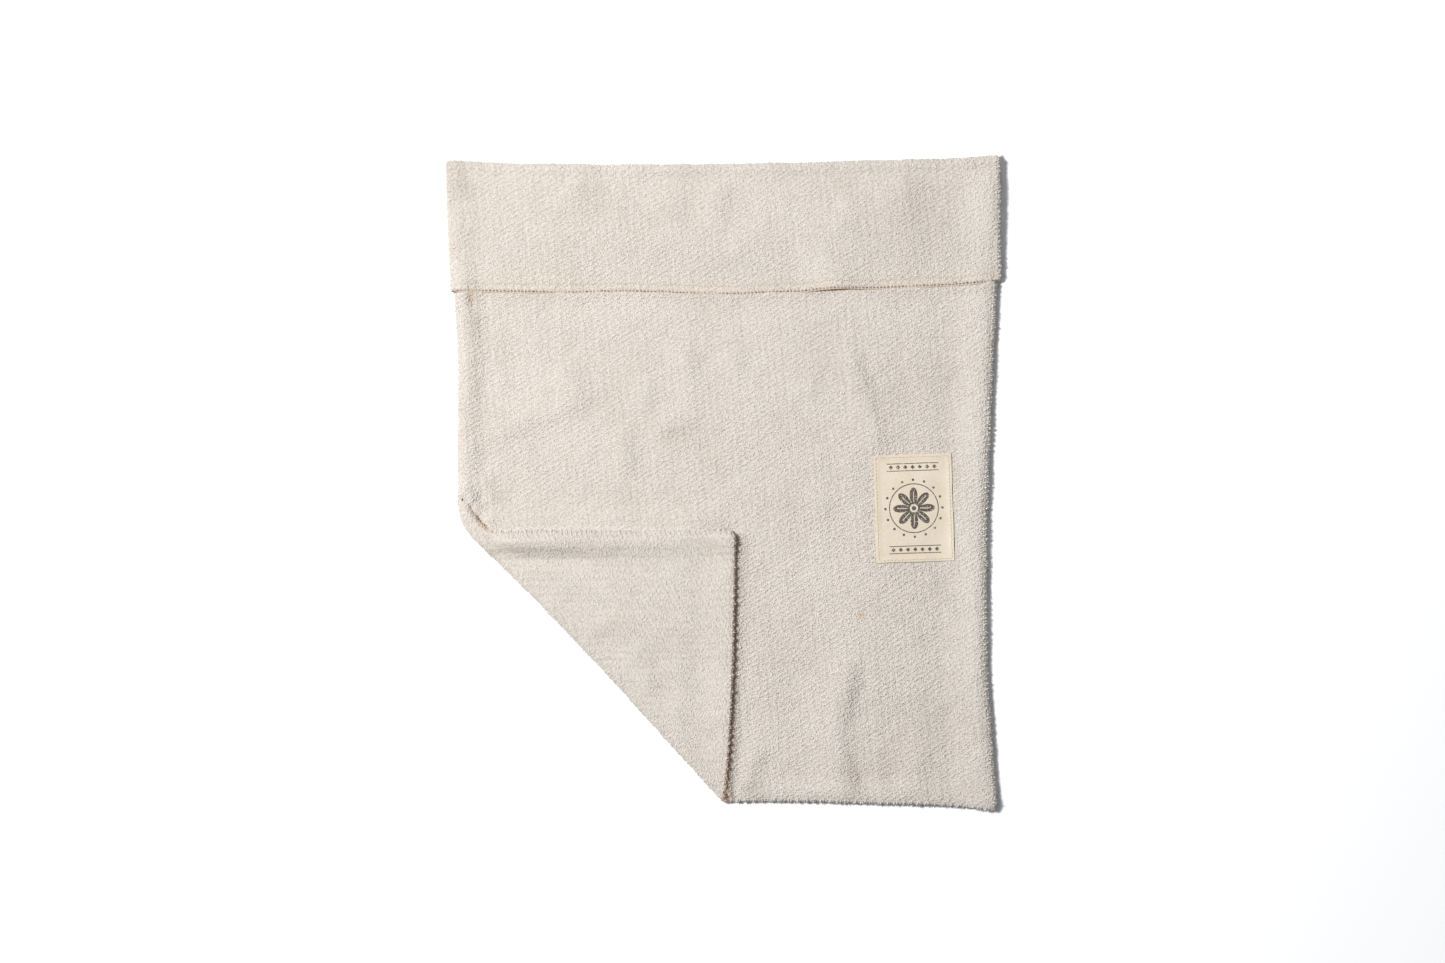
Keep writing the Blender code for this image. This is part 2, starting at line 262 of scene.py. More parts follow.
@dataclass(frozen=True)
class PouchShape:
    """Where the cloth lies, in millimetres: the pouch laid flat, and the two folds that it then takes.

    On the flat pouch x runs to the right and v from the bottom seam to the mouth.
    """

    cloth: float = 1.8
    pocket: float = 0.6
    fold_space: float = 1.0
    bottom: float = -177.5
    cuff_fold: float = 172.5
    cuff_depth: float = 72.2
    edge_reach: float = 1.9
    seam_reach: float = 1.0
    corner_round: float = 4.0
    front_loft: float = 0.7
    turned_loft: float = 0.45
    middle: Pair = (-0.03, -0.44)
    # Where the back's x starts on the way round the tube
    back_start: float = -300.0
    # Side edges: along, x
    left_edge: Table = (
        (-178, -151.6), (-154, -150.1), (-98, -145.8), (-60, -143), (-47, -141.3), (-40, -141.6),
        (-35, -144.1), (-30, -147.6), (-25, -150.1), (-20, -150.5), (-14, -148.8), (-6, -147.4),
        (10, -147.5), (75, -147.6), (107, -149.6), (140, -152.5), (176, -153.6), (215, -152.8),
        (250, -150.8),
    )
    right_edge: Table = (
        (-182, 152.3), (-150, 149.9), (-135, 148.9), (-110, 146.8), (-60, 146.2), (-30, 146.1),
        (0, 147.1), (30, 148.2), (60, 149.4), (104, 151.4), (140, 152), (176, 153), (215, 153.2),
        (250, 153.6),
    )
    # How far the seam lies from the bottom: x, shift. The rows follow it between these two v
    seam_line: Table = (
        (-152, 2.6), (-106, 0.6), (-60, -0.8), (-15, -0.8), (12, -0.1), (45, -0.1), (98, -1.6),
        (120, -2.2), (140, -3.7), (154, -5.8),
    )
    seam_fade: Pair = (-163.5, -100)
    # How far the cuff's fold and its edge wander along y: x, fold, edge
    cuff_lines: Table = (
        (-154, 2.3, 0.2), (-140, 1.2, 0.5), (-110, 0.1, 0.05), (-82, -0.25, -0.35), (-55, -0.5, 0.45),
        (-40, -0.45, 0.1), (-10, -0.2, -1.05), (12, 0.05, -0.85), (25, 0.25, -0.1), (42, 0.55, 0.2),
        (56, 1, 1.8), (68, 1.4, 2.5), (80, 1.7, 2.15), (95, 2.05, 2.5), (110, 2.4, 3.2), (125, 2.95, 4),
        (140, 3.6, 4.9), (154, 5, 6.9),
    )
    # The diagonal fold: the way it faces, its own way, how far out it lies, and its bend (along, outward shift)
    corner_way: Pair = (-0.7320, -0.6813)
    corner_along: Pair = (0.6813, -0.7320)
    corner_reach: float = 122.0
    corner_bend: Table = (
        (-90, 0), (-76, 1.8), (-62, 1.1), (-48, 0), (-30, -1.1), (10, -2), (30, -2), (80, -1), (128, 0),
    )
    bend_fade: float = 30.0
    # How far the fold's axis is drawn in where the fold meets the side edge: along, shift
    corner_draw: Table = (
        (-118, -19), (-106, -11.6), (-100, -8.5), (-93.6, -5.6), (-88, -2.7), (-84, -1), (-79, -0.2),
        (-74, 0), (130, 0),
    )
    corner_covers: Pair = (4, -28.5)
    # Rolls along the edges: crest's distance in, its outer and inner width, its rise, then the groove behind it
    left_roll: Sizes = (4.8, 5, 7.2, 2.1, 14.5, 4.5, 0.4)
    right_roll: Sizes = (4.8, 5, 12, 2.4, 24, 7, 0.3)
    seam_roll: Sizes = (3.6, 5, 5.5, 1.7, 14, 5, 0.2)
    turned_seam_roll: Sizes = (0.6, 3, 8, 1.2, 18, 6, 0.3)
    cuff_rolls: Pair = (0.45, 0.55)
    # How strong the side rolls are: along, left one, right one
    roll_strength: Table = (
        (-178, 0.7, 0.8), (-130, 0.9, 1), (-100, 1.3, 1.1), (-60, 1.7, 1.1), (-38, 1.2, 1.1),
        (-22, 0.5, 1.1), (-10, 0.3, 1.1), (0, 0.5, 1.1), (12, 1, 1.1), (30, 0.65, 1), (50, 1, 0.95),
        (80, 1.1, 0.9), (102, 1.45, 0.8), (140, 1, 1), (250, 1, 1),
    )
    # The relief grows past the places that the flap covers, and past the diagonal fold, over these distances
    cover_fade: Pair = (1, 8)
    corner_fade: Pair = (1, 9)
    # The front's bank against the flap's upper edge: rise, width under the flap, width above it. Then the x
    # between which it grows, and between which it falls
    flap_bank: Sizes = (4.2, 1.8, 10)
    flap_bank_ends: Sizes = (-136, -128, -20, 12)
    # Its bank against the flap's right edge: rise, width under the flap, width beside it, then its shift. It
    # grows between these two distances below the flap's top
    side_bank: Sizes = (3.7, 1.2, 5)
    side_bank_shift: float = 0.5
    side_bank_start: Pair = (-4, 6)
    # Hills that close the gap where the left edge rolls over, as ridges. They grow from this x, over a width
    beak_start: Pair = (-147.6, 1.8)
    beak_hills: Table = (
        (-144, -8, 6, -38, 7, 6, 2.4), (-138.6, -17.4, 4, -52, 2.6, 2.6, 0.9),
        (-146, -9, 1.5, -38, 2.5, 2.5, 1.3),
    )
    # Ridges: middle x, middle y, half length, turn in degrees, left and right flank's width, rise
    front_creases: Table = (
        (79, 50, 27, -72, 4.2, 9, 1.6), (84, 22, 8, -80, 7, 8, 1.1), (68.5, -116, 17, -99, 5.2, 13, 2.4),
        (66, -153, 22, -79, 6, 14, 2), (15, -161, 15, 68, 5, 5, 1.2), (24, -114, 11, -20, 8, 7, 0.4),
        (88, -60, 60, -90, 26, 20, 1), (107, -160, 13, -95, 7, 9, 1.2), (-83, 54, 11, -80, 6, 10, 1.1),
        (-104, 34, 37, 21, 11, 4.6, 1.1), (-54, 17, 13, -78, 4.5, 8, 1.1), (-43, 48, 10, -95, 4.5, 7, 1),
        (-27, 31, 10, 20, 7, 5, 0.9), (-19, 66, 10, -85, 4.5, 7, 0.7), (8, 72, 13, -88, 4.5, 7, 0.7),
        (-128, -6, 11, -59, 5, 4.6, 0.7), (-135.4, -22.1, 9, -48, 7, 2, 2.6),
        (-139.8, -13.5, 5, -62, 6, 2.4, 1.5), (-145, -8, 12, -86, 5, 12, 1.2),
        (-140.3, 101, 5, -83, 1.6, 2.6, -1.3), (49, 54, 7, -80, 5, 7, 0.6), (57, -14, 8, -80, 5, 8, 0.6),
    )
    corner_creases: Table = (
        (-112, -32.5, 31, 0, 3.4, 7.5, 1.6), (-50, -32.8, 24, 0, 3.4, 5, 0.5),
        (-72, -83, 16, 16, 9, 4.6, 1.1), (-50, -88, 14, -60, 7, 8, 1.2), (-43, -114, 9, -100, 5, 5.5, 1),
        (-27, -132, 8, -80, 5, 5.5, 0.7), (-95, -52, 16, -35, 8, 8, 0.6),
    )
    cuff_creases: Table = (
        (-86, 162, 14, -88, 8, 9, 1.3), (-3, 160, 16, -92, 7, 7, 1.3), (-25, 156, 12, -90, 5, 8, 0.6),
        (8, 130, 7, -80, 4.5, 6, 0.6), (24, 146, 8, -60, 4.5, 6, 0.7), (60, 118, 18, 117, 12, 8, 1.8),
        (70, 147, 15, -90, 6, 9, 0.8), (98, 156, 15, -90, 9, 17, 1.8), (106, 124, 13, -95, 7, 8, 1.1),
    )
    # Creases whose depth is painted with brown shade, as ridges
    shade_painted_creases: Table = (
        (-135.5, -20.4, 10, -48, 1.3, 1.8, 1), (-140.4, 103.5, 4.5, -80, 1.2, 1.6, 0.9),
        (-140, 70, 26, -88, 2.5, 3, 0.12),
    )
    # Patches painted darker for shade and paler for light on folds and rolls, as ridges of the tone
    front_painted_shading: Table = (
        (90, -158, 12, -88, 6, 8, 0.14), (112, -152, 24, -90, 24, 20, 0.06),
        (125, -173, 24, 0, 6, 6, 0.18), (11, -170, 12, 0, 6, 7, 0.3), (72, -166, 10, -80, 5, 7, 0.22),
        (-66, -27.5, 68, 0, 1.5, 2.5, -0.35), (-139, -6, 7, -90, 5, 5, -0.25),
        (30, -127, 9, 0, 6, 6, 0.09), (-24, 27, 12, 20, 7, 7, 0.12), (138, -171, 7, 0, 5, 5, 0.14),
        (-129, -4, 9, -70, 5, 5, 0.25), (126, 40, 50, -90, 6, 6, 0.1), (141, -10, 120, -90, 8, 9, -0.2),
    )
    cuff_painted_shading: Table = (
        (-75, 167, 9, -75, 10, 9, 0.2), (116, 150, 15, -90, 12, 14, 0.16),
        (-146, 168, 12, -80, 8, 14, 0.32), (143, 143, 36, -90, 6, 6, -0.2), (69, 162, 9, -90, 6, 6, 0.13),
        (48, 119, 12, 60, 8, 8, -0.2),
    )
    corner_painted_shading: Table = (
        (-62, -84, 12, 20, 7, 7, 0.12), (-122, -37, 10, 0, 3.5, 3.5, 0.5),
        (-90, -37.5, 26, 0, 3.5, 3.5, 0.2), (-4, -33, 6, 0, 4, 4, 0.16), (-74, -105, 80, -47, 6, 9, 0.12),
    )
    # The turned corner's right edge: along, x
    flap_edge: Table = ((-178, -2.2), (-160, 0.3), (-110, 2.8), (-33, 4.7))
    # How uneven the outside is
    lump: float = 0.24
    # Where the cuff's edge stands off the front: middle x, half width, lift, which fades over this length
    cuff_lifts: Table = (
        (-145.5, 6.5, 2.6), (-118, 22, 0.3), (63, 13, 2.4), (118, 14, 0.4), (143, 9, 1.9),
    )
    lift_fade: float = 26.0
    # The overlock presses the cuff flat at its edge: how far in, to what share, and how far it sinks
    press: Sizes = (36, 0.38, 0.45)
    # The front's relief starts between these distances past the cuff's edge
    front_start: Pair = (-1.5, -0.2)
    # The front's bank against the cuff's edge: rise, width under the cuff, width below it, and the half width
    # of the stretch that stays bare at the open wedge
    line_bank: Sizes = (0.9, 1.2, 4, 15)
    # The open wedge under the cuff: middle x, half width, how much further the painted brown shade reaches
    # there
    wedge: Sizes = (63, 13, 1.3)
    # How flat the turned cuff lies: the share left of its height, and how far it sinks
    cuff_flat: Pair = (0.82, 0.6)
    # How far in from the mouth the needle stitches lie, and the painted brown shade along them: amount, width
    needle_in: float = 5.6
    needle_line_shade: Pair = (0.16, 1.7)
    # Painted brown shade in the crevices. Past the cuff's edge: from and to where it starts, from and to where
    # it ends
    cuff_shade: Sizes = (-4, -2, -0.9, 0.1)
    # Painted shade on the mouth's rim: amount, depth
    rim_shade: Pair = (0.9, 1.5)
    # Painted shade on the left edge's beak: amount, reach in from the edge, middle v, width below and above
    beak_shade: Sizes = (0.7, 1.4, -34, 6, 7)
    # Painted shade by the flap's right edge: amount, then from and to where it ends beside the flap, and above
    # it
    flap_shade: Sizes = (0.9, 3, 4.5, -1.2, 0.6)
    # Painted shade on the turned bottom seam: from and to where it ends
    seam_shade: Pair = (0.1, 0.9)
    # Painted light: the cotton is painted paler beside the cuff's edge: how far in, width, amount
    edge_painted_light: Sizes = (3, 4, -0.04)

    @cached_property
    def stack(self) -> float:
        """Height of the two layers and the pocket."""
        return 2 * self.cloth + self.pocket

    @cached_property
    def axis_height(self) -> float:
        """Height of the axis that a fold turns about."""
        return self.stack + self.fold_space / 2

    @cached_property
    def roll_radius(self) -> float:
        """Radius at which the pouch's middle turns in a fold."""
        return self.axis_height - self.stack / 2

    @cached_property
    def half_turn(self) -> float:
        """Length of cloth in a fold's half turn."""
        return pi * self.roll_radius

    @cached_property
    def outer_turn(self) -> float:
        """Length of a fold's half turn on the outside of the cloth that turns."""
        return self.half_turn * self.axis_height / self.roll_radius

    @cached_property
    def cuff_edge(self) -> float:
        """Where the cuff's edge lies, as a y."""
        return self.cuff_fold + self.axis_height - self.cuff_depth

    @cached_property
    def mouth(self) -> float:
        """The mouth's v on the flat pouch."""
        return self.cuff_fold + self.half_turn + (self.cuff_fold - self.cuff_edge)

    @cached_property
    def corner_fold(self) -> float:
        """How far out the axis of the diagonal fold lies."""
        return self.corner_reach - self.axis_height

    def left(self, v: Numbers) -> Numbers:
        """x of the left edge."""
        return through(self.left_edge, v)

    def right(self, v: Numbers) -> Numbers:
        """x of the right edge."""
        return through(self.right_edge, v)

    def seam(self, x: Numbers) -> Numbers:
        """v of the bottom seam."""
        return self.bottom + through(self.seam_line, x)

    @staticmethod
    def rounding(distance: Numbers, reach: float) -> Numbers:
        """Quarter of an ellipse: 0 on an edge, 1 past its reach."""
        t = 1 - np.clip(distance / reach, 0.0, 1.0)
        return np.sqrt(1 - t * t)

    def apart(self, x: Numbers, v: Numbers) -> Numbers:
        """How far apart the layers lie: 0 on the side edges, 1 past their reach."""
        left, right = x - self.left(v), self.right(v) - x
        return self.rounding(left, self.edge_reach) * self.rounding(right, self.edge_reach)

    @staticmethod
    def roll(sizes: Sizes, distance: Numbers) -> Numbers:
        """Rise of an edge's roll less the dip of its groove, two bell curves of the distance in."""
        crest, outer, inner, rise, groove, groove_width, dip = sizes
        return rise * bell(distance - crest, outer, inner) - dip * bell(distance - groove, groove_width)

    def side_rolls(self, x: Numbers, v: Numbers) -> tuple[Numbers, Numbers]:
        """The rolls along the left and the right edge, each with its strength there."""
        left = through(self.roll_strength, v, 1) * self.roll(self.left_roll, x - self.left(v))
        right = through(self.roll_strength, v, 2) * self.roll(self.right_roll, self.right(v) - x)
        return left, right

    def past_corner(self, x: Numbers, v: Numbers) -> Numbers:
        """Distance past the axis of the diagonal fold."""
        return self.corner_way[0] * x + self.corner_way[1] * v - self.corner_fold

    def over_corner(self, x: Numbers, v: Numbers) -> tuple[Numbers, Numbers, Numbers]:
        """Mirrors places over the diagonal fold.

        Args:
            x: Places across.
            v: Places along.

        Returns:
            How far past the fold's turn they lie, and the x and y that they come to.
        """
        past = self.past_corner(x, v)
        on_corner = past - self.half_turn
        back = on_corner + past
        return on_corner, x - back * self.corner_way[0], v - back * self.corner_way[1]

    def front_relief(self, x: Numbers, v: Numbers) -> Numbers:
        """Rise of the front layer where nothing lies on it: its loft, rolls and creases.

        Args:
            x: Places across.
            v: Places along.

        Returns:
            The rise above a bag pressed flat.
        """
        beside = np.maximum(x - self.corner_covers[0], v - self.corner_covers[1])
        beside = ease(beside, *self.cover_fade) * ease(-self.past_corner(x, v), *self.corner_fade)
        left, right = self.side_rolls(x, v)
        rolls = ease(self.cuff_edge - v, -self.lift_fade, 2.0) * (left + right)
        risen = self.front_loft + self.roll(self.seam_roll, v - self.seam(x)) + ridges(self.front_creases, x, v)
        below_top, ends = self.corner_covers[1] - v, self.flap_bank_ends
        top = self.flap_bank[0] * bell(-below_top, *self.flap_bank[1:])
        top = top * (1 - ease(x, *ends[2:])) * ease(x, *ends[:2])
        side = self.side_bank[0] * bell(self.past_flap(x, v) - self.side_bank_shift, *self.side_bank[1:])
        bank = np.maximum(top, side * ease(below_top, *self.side_bank_start))
        bank = bank + ridges(self.beak_hills, x, v) * ease(x - self.beak_start[0], 0.0, self.beak_start[1])
        open_to = self.past_cuff(x, v)
        rise, under, below, bare = self.line_bank
        filled = rise * bell(open_to, under, below) * (1 - bell(x - self.wedge[0], bare))
        return bank + beside * (rolls + ease(open_to, *self.front_start) * risen + filled)

    def past_cuff(self, x: Numbers, v: Numbers) -> Numbers:
        """How far a place of the front lies below the cuff's edge."""
        return self.cuff_edge + through(self.cuff_lines, x, 2) - v

    def past_flap(self, x: Numbers, v: Numbers) -> Numbers:
        """How far a place of the front lies to the right of the turned corner's right edge."""
        return x - through(self.flap_edge, v)

    def turned_relief(self, x: Numbers, v: Numbers) -> Numbers:
        """Rise of the back layer where it comes to lie on top, on the cuff and on the corner.

        Args:
            x: Places across.
            v: Places along.

        Returns:
            The rise above a fold pressed flat.
        """
        left, right = self.side_rolls(x, v)
        on_cuff = v - self.cuff_fold - self.half_turn
        cuff = self.turned_loft + self.cuff_rolls[0] * left + self.cuff_rolls[1] * right
        cuff = cuff + ridges(self.cuff_creases, x, self.cuff_fold - on_cuff)
        on_corner, corner_x, corner_y = self.over_corner(x, v)
        corner = self.turned_loft + left + self.roll(self.turned_seam_roll, v - self.seam(x))
        corner = corner + ridges(self.corner_creases, corner_x, corner_y)
        return ease(on_cuff, 1.0, 12.0) * cuff + ease(on_corner, 1.0, 12.0) * corner

    def layer_height(self, side: Numbers, x: Numbers, v: Numbers, apart: Numbers) -> Numbers:
        """Height of the middle of a layer of the flat pouch, for the same values as layer() takes."""
        relief = np.where(side > 0, self.front_relief(x, v), self.turned_relief(x, v))
        return self.stack / 2 + side * apart * ((self.cloth + self.pocket) / 2 + relief)

    def layer(self, side: Numbers, x: Numbers, v: Numbers, apart: Numbers) -> Numbers:
        """Middle surface of a layer, with the wander of its seam and its round lower corners.

        Args:
            side: 1 for the front layer, -1 for the back one.
            x: Places across.
            v: Places along, as if the seam were straight.
            apart: 0 where the layers meet in an edge, 1 where they lie fully apart.

        Returns:
            x, v and height in the last axis.
        """
        left, right = self.left(v), self.right(v)
        v = v + through(self.seam_line, x) * (1 - ease(v, *self.seam_fade))
        side_in = np.maximum(1 - (x - left) / self.corner_round, 1 - (right - x) / self.corner_round).clip(0, 1)
        low_in = (1 - (v - self.seam(x)) / self.corner_round).clip(0, 1)
        drawn = np.sign(-x) * self.corner_round * side_in * (1 - np.sqrt(1 - low_in**2 / 2))
        v = v + self.corner_round * low_in * (1 - np.sqrt(1 - side_in**2 / 2))
        x = x + drawn
        return np.stack([x, v, self.layer_height(side, x, v, apart)], axis=-1)

    def outside_rise(self, points: Numbers, normals: Numbers) -> Numbers:
        """Distance from the middle surface to the outside: half the cloth, uneven where it lies flat."""
        uneven = ripple(points[..., 0], points[..., 1] + 500.0 * (normals[..., 2] < 0), 7, 5.0, 26.0)
        return self.cloth / 2 + self.lump * uneven * ease(np.abs(normals[..., 2]), 0.2, 0.9)

    def crevice_shade(self, front: Numbers, x: Numbers, v: Numbers) -> Numbers:
        """How much painted brown shade a place gets, for the shade in crevices: by the cuff, the flap and
        creases.

        Args:
            front: Whether each place is on the front layer.
            x: Places across.
            v: Places along.

        Returns:
            0 in the open to 1 in a crevice.
        """
        middle, half_width, further = self.wedge
        past_cuff = self.past_cuff(x, v)
        open_wedge = further * bell(x - middle, half_width)
        under_cuff = ease(past_cuff, *self.cuff_shade[:2]) - ease(past_cuff - open_wedge, *self.cuff_shade[2:])
        # Painted brown shade on the mouth's rim and along the needle stitches
        turned = self.rim_shade[0] * (v > self.mouth - self.rim_shade[1])
        turned = turned + self.needle_line_shade[0] * bell(self.mouth - self.needle_in - v, self.needle_line_shade[1])
        amount, reach, beak_at, *beak_widths = self.beak_shade
        by_beak = amount * (x < self.left(v) + reach) * bell(v - beak_at, *beak_widths)
        beside_flap = self.flap_shade[0] * (1 - ease(self.past_flap(x, v), *self.flap_shade[1:3]))
        beside_flap = beside_flap * (1 - ease(v - self.corner_covers[1], *self.flap_shade[3:]))
        creased = ridges(self.shade_painted_creases, x, v).clip(0, 1)
        by_seam = (1 - ease(v - self.seam(x), *self.seam_shade)) * (self.past_corner(x, v) > 0)
        on_front = np.maximum(under_cuff, np.maximum(beside_flap, creased))
        return np.maximum(np.where(front, on_front, np.maximum(turned, by_beak)), by_seam)

    def painted_shading(self, front: Numbers, x: Numbers, v: Numbers) -> Numbers:
        """How much a place is painted darker for shade and paler for light on its folds and rolls, by the
        tables of patches.

        Args:
            front: Whether each place is on the front layer.
            x: Places across.
            v: Places along.

        Returns:
            Above 0 where it is darker, below 0 where it is paler.
        """
        on_corner, corner_x, corner_y = self.over_corner(x, v)
        cuff = ridges(self.cuff_painted_shading, x, 2 * self.cuff_fold + self.half_turn - v)
        edge_in, edge_width, edge_amount = self.edge_painted_light
        cuff = cuff + edge_amount * bell(self.mouth - v - edge_in, edge_width)
        corner, past = ridges(self.corner_painted_shading, corner_x, corner_y), on_corner + self.half_turn
        turned = np.where(past > 0, corner, cuff * (v > self.cuff_fold))
        return np.where(front, ridges(self.front_painted_shading, x, v), turned)

    def shade(self, mesh: Mesh, front: Numbers, x: Numbers, v: Numbers, each: int = 1) -> None:
        """Gives a mesh the two amounts that its finish reads: painted brown shade of crevices, and painted
        shade and light of folds.

        Args:
            mesh: The mesh.
            front: Whether each place is on the front layer.
            x: Places across.
            v: Places along.
            each: How many vertices in a row share a place.
        """
        for name, amounts in (("crevice_shade", self.crevice_shade(front, x, v)), ("painted_shading", self.painted_shading(front, x, v))):
            layer = mesh.attributes.new(name, "FLOAT", "POINT")
            layer.data.foreach_set("value", np.repeat(amounts, each).astype(np.float32))

    def turn(self, distance: Numbers, height: Numbers) -> tuple[Numbers, Numbers]:
        """Rolls points over a fold: an arc about the axis for half a turn, then straight back.

        Args:
            distance: How far past the fold's axis they lie when flat.
            height: How high they lie when flat.

        Returns:
            The same two after the fold.
        """
        angle = np.clip(distance / self.roll_radius, 0.0, pi)
        radius = self.axis_height - height
        along = np.where(distance < self.half_turn, radius * np.sin(angle), self.half_turn - distance)
        rolled = self.axis_height - radius * np.cos(angle)
        return np.where(distance > 0, along, distance), np.where(distance > 0, rolled, height)

    def fold(self, points: Numbers) -> Numbers:
        """Takes points of the flat pouch, in millimetres, to where they lie on the folded bag, in metres.

        The mouth rolls over to the front, then the lower left corner does, and both folds wander a little.

        Args:
            points: x, v and height in the last axis.

        Returns:
            x, y and z in the last axis.
        """
        x, v, height = points[..., 0], points[..., 1], points[..., 2]
        on_cuff = v > self.cuff_fold + 0.5 * self.half_turn
        past_turn = ease(v - self.cuff_fold, 0.5 * self.half_turn, 1.5 * self.half_turn)
        y, z = self.turn(v - self.cuff_fold, height)
        y = y + self.cuff_fold
        near_fold = ease(y, self.cuff_edge, self.cuff_fold + self.axis_height)
        shift = near_fold * through(self.cuff_lines, x, 1)
        y = y + shift + np.where(on_cuff, (1 - near_fold) * through(self.cuff_lines, x, 2), 0.0)
        lift = sum(rise * bell(x - at, width) for at, width, rise in self.cuff_lifts)
        under = self.stack + self.fold_space
        pressed = (1 - ease(self.mouth - v, 0.0, self.press[0])) * on_cuff
        flat = (1 - (1 - self.cuff_flat[0]) * past_turn) * (1 - (1 - self.press[1]) * pressed)
        sunk = self.cuff_flat[1] * past_turn + self.press[2] * pressed
        z = np.where(on_cuff, under + (z - under) * flat - sunk, z)
        z = z + np.where(on_cuff, lift * ease(self.cuff_edge + self.lift_fade - y, 0.0, self.lift_fade), 0.0)
        before = self.corner_along[0] * x + self.corner_along[1] * y
        past = self.past_corner(x, y) - through(self.corner_draw, before)
        turned, z = self.turn(past, z)
        x = x + (turned - past) * self.corner_way[0]
        y = y + (turned - past) * self.corner_way[1]
        along = self.corner_along[0] * x + self.corner_along[1] * y
        bend = through(self.corner_bend, along) * bell(turned - self.axis_height, self.bend_fade)
        x = x + bend * self.corner_way[0] - self.middle[0]
        y = y + bend * self.corner_way[1] - self.middle[1]
        return np.stack([x, y, z], axis=-1) * MM

    def front_top(self, x: Numbers, y: Numbers) -> Numbers:
        """Height of the outside of the bare front, in millimetres."""
        return self.stack + self.front_relief(x, y)


def of_two(operation: str) -> Callable[["Field", "Field | float"], "Field"]:
    """A method of Field that makes one Math node of the number and another."""
    return lambda self, other: self.math(operation, other)


class Field:
    """A number that varies over a surface, held as a socket, with the usual operators as Math nodes."""

    __add__ = __radd__ = of_two("ADD")
    __sub__ = of_two("SUBTRACT")
    __mul__ = __rmul__ = of_two("MULTIPLY")
    __truediv__ = of_two("DIVIDE")
    __pow__ = of_two("POWER")
    most = of_two("MAXIMUM")

    def __init__(self, nodes: "Nodes", socket: bpy.types.NodeSocket) -> None:
        """Wraps a socket of a material."""
        self.nodes, self.socket = nodes, socket

    def math(self, operation: str, *others: "Field | float") -> "Field":
        """The outcome of one Math node with this number first."""
        return self.nodes.math(operation, self, *others)

    def __rsub__(self, other: "Field | float") -> "Field":
        """other - self."""
        return self.nodes.math("SUBTRACT", other, self)

    def __abs__(self) -> "Field":
        """The number without its sign."""
        return self.math("ABSOLUTE")

    def cosine(self) -> "Field":
        """Cosine of an angle in radians."""
        return self.math("COSINE")

    def step(self, low: float, high: float) -> "Field":
        """Smooth rise from 0 at low to 1 at high, or a fall where low is above high."""
        settings = {"interpolation_type": "SMOOTHSTEP"}
        if low < high:
            return self.nodes.make("MapRange", settings, {"Value": self, "From Min": low, "From Max": high})
        return 1.0 - self.nodes.make("MapRange", settings, {"Value": self, "From Min": high, "From Max": low})


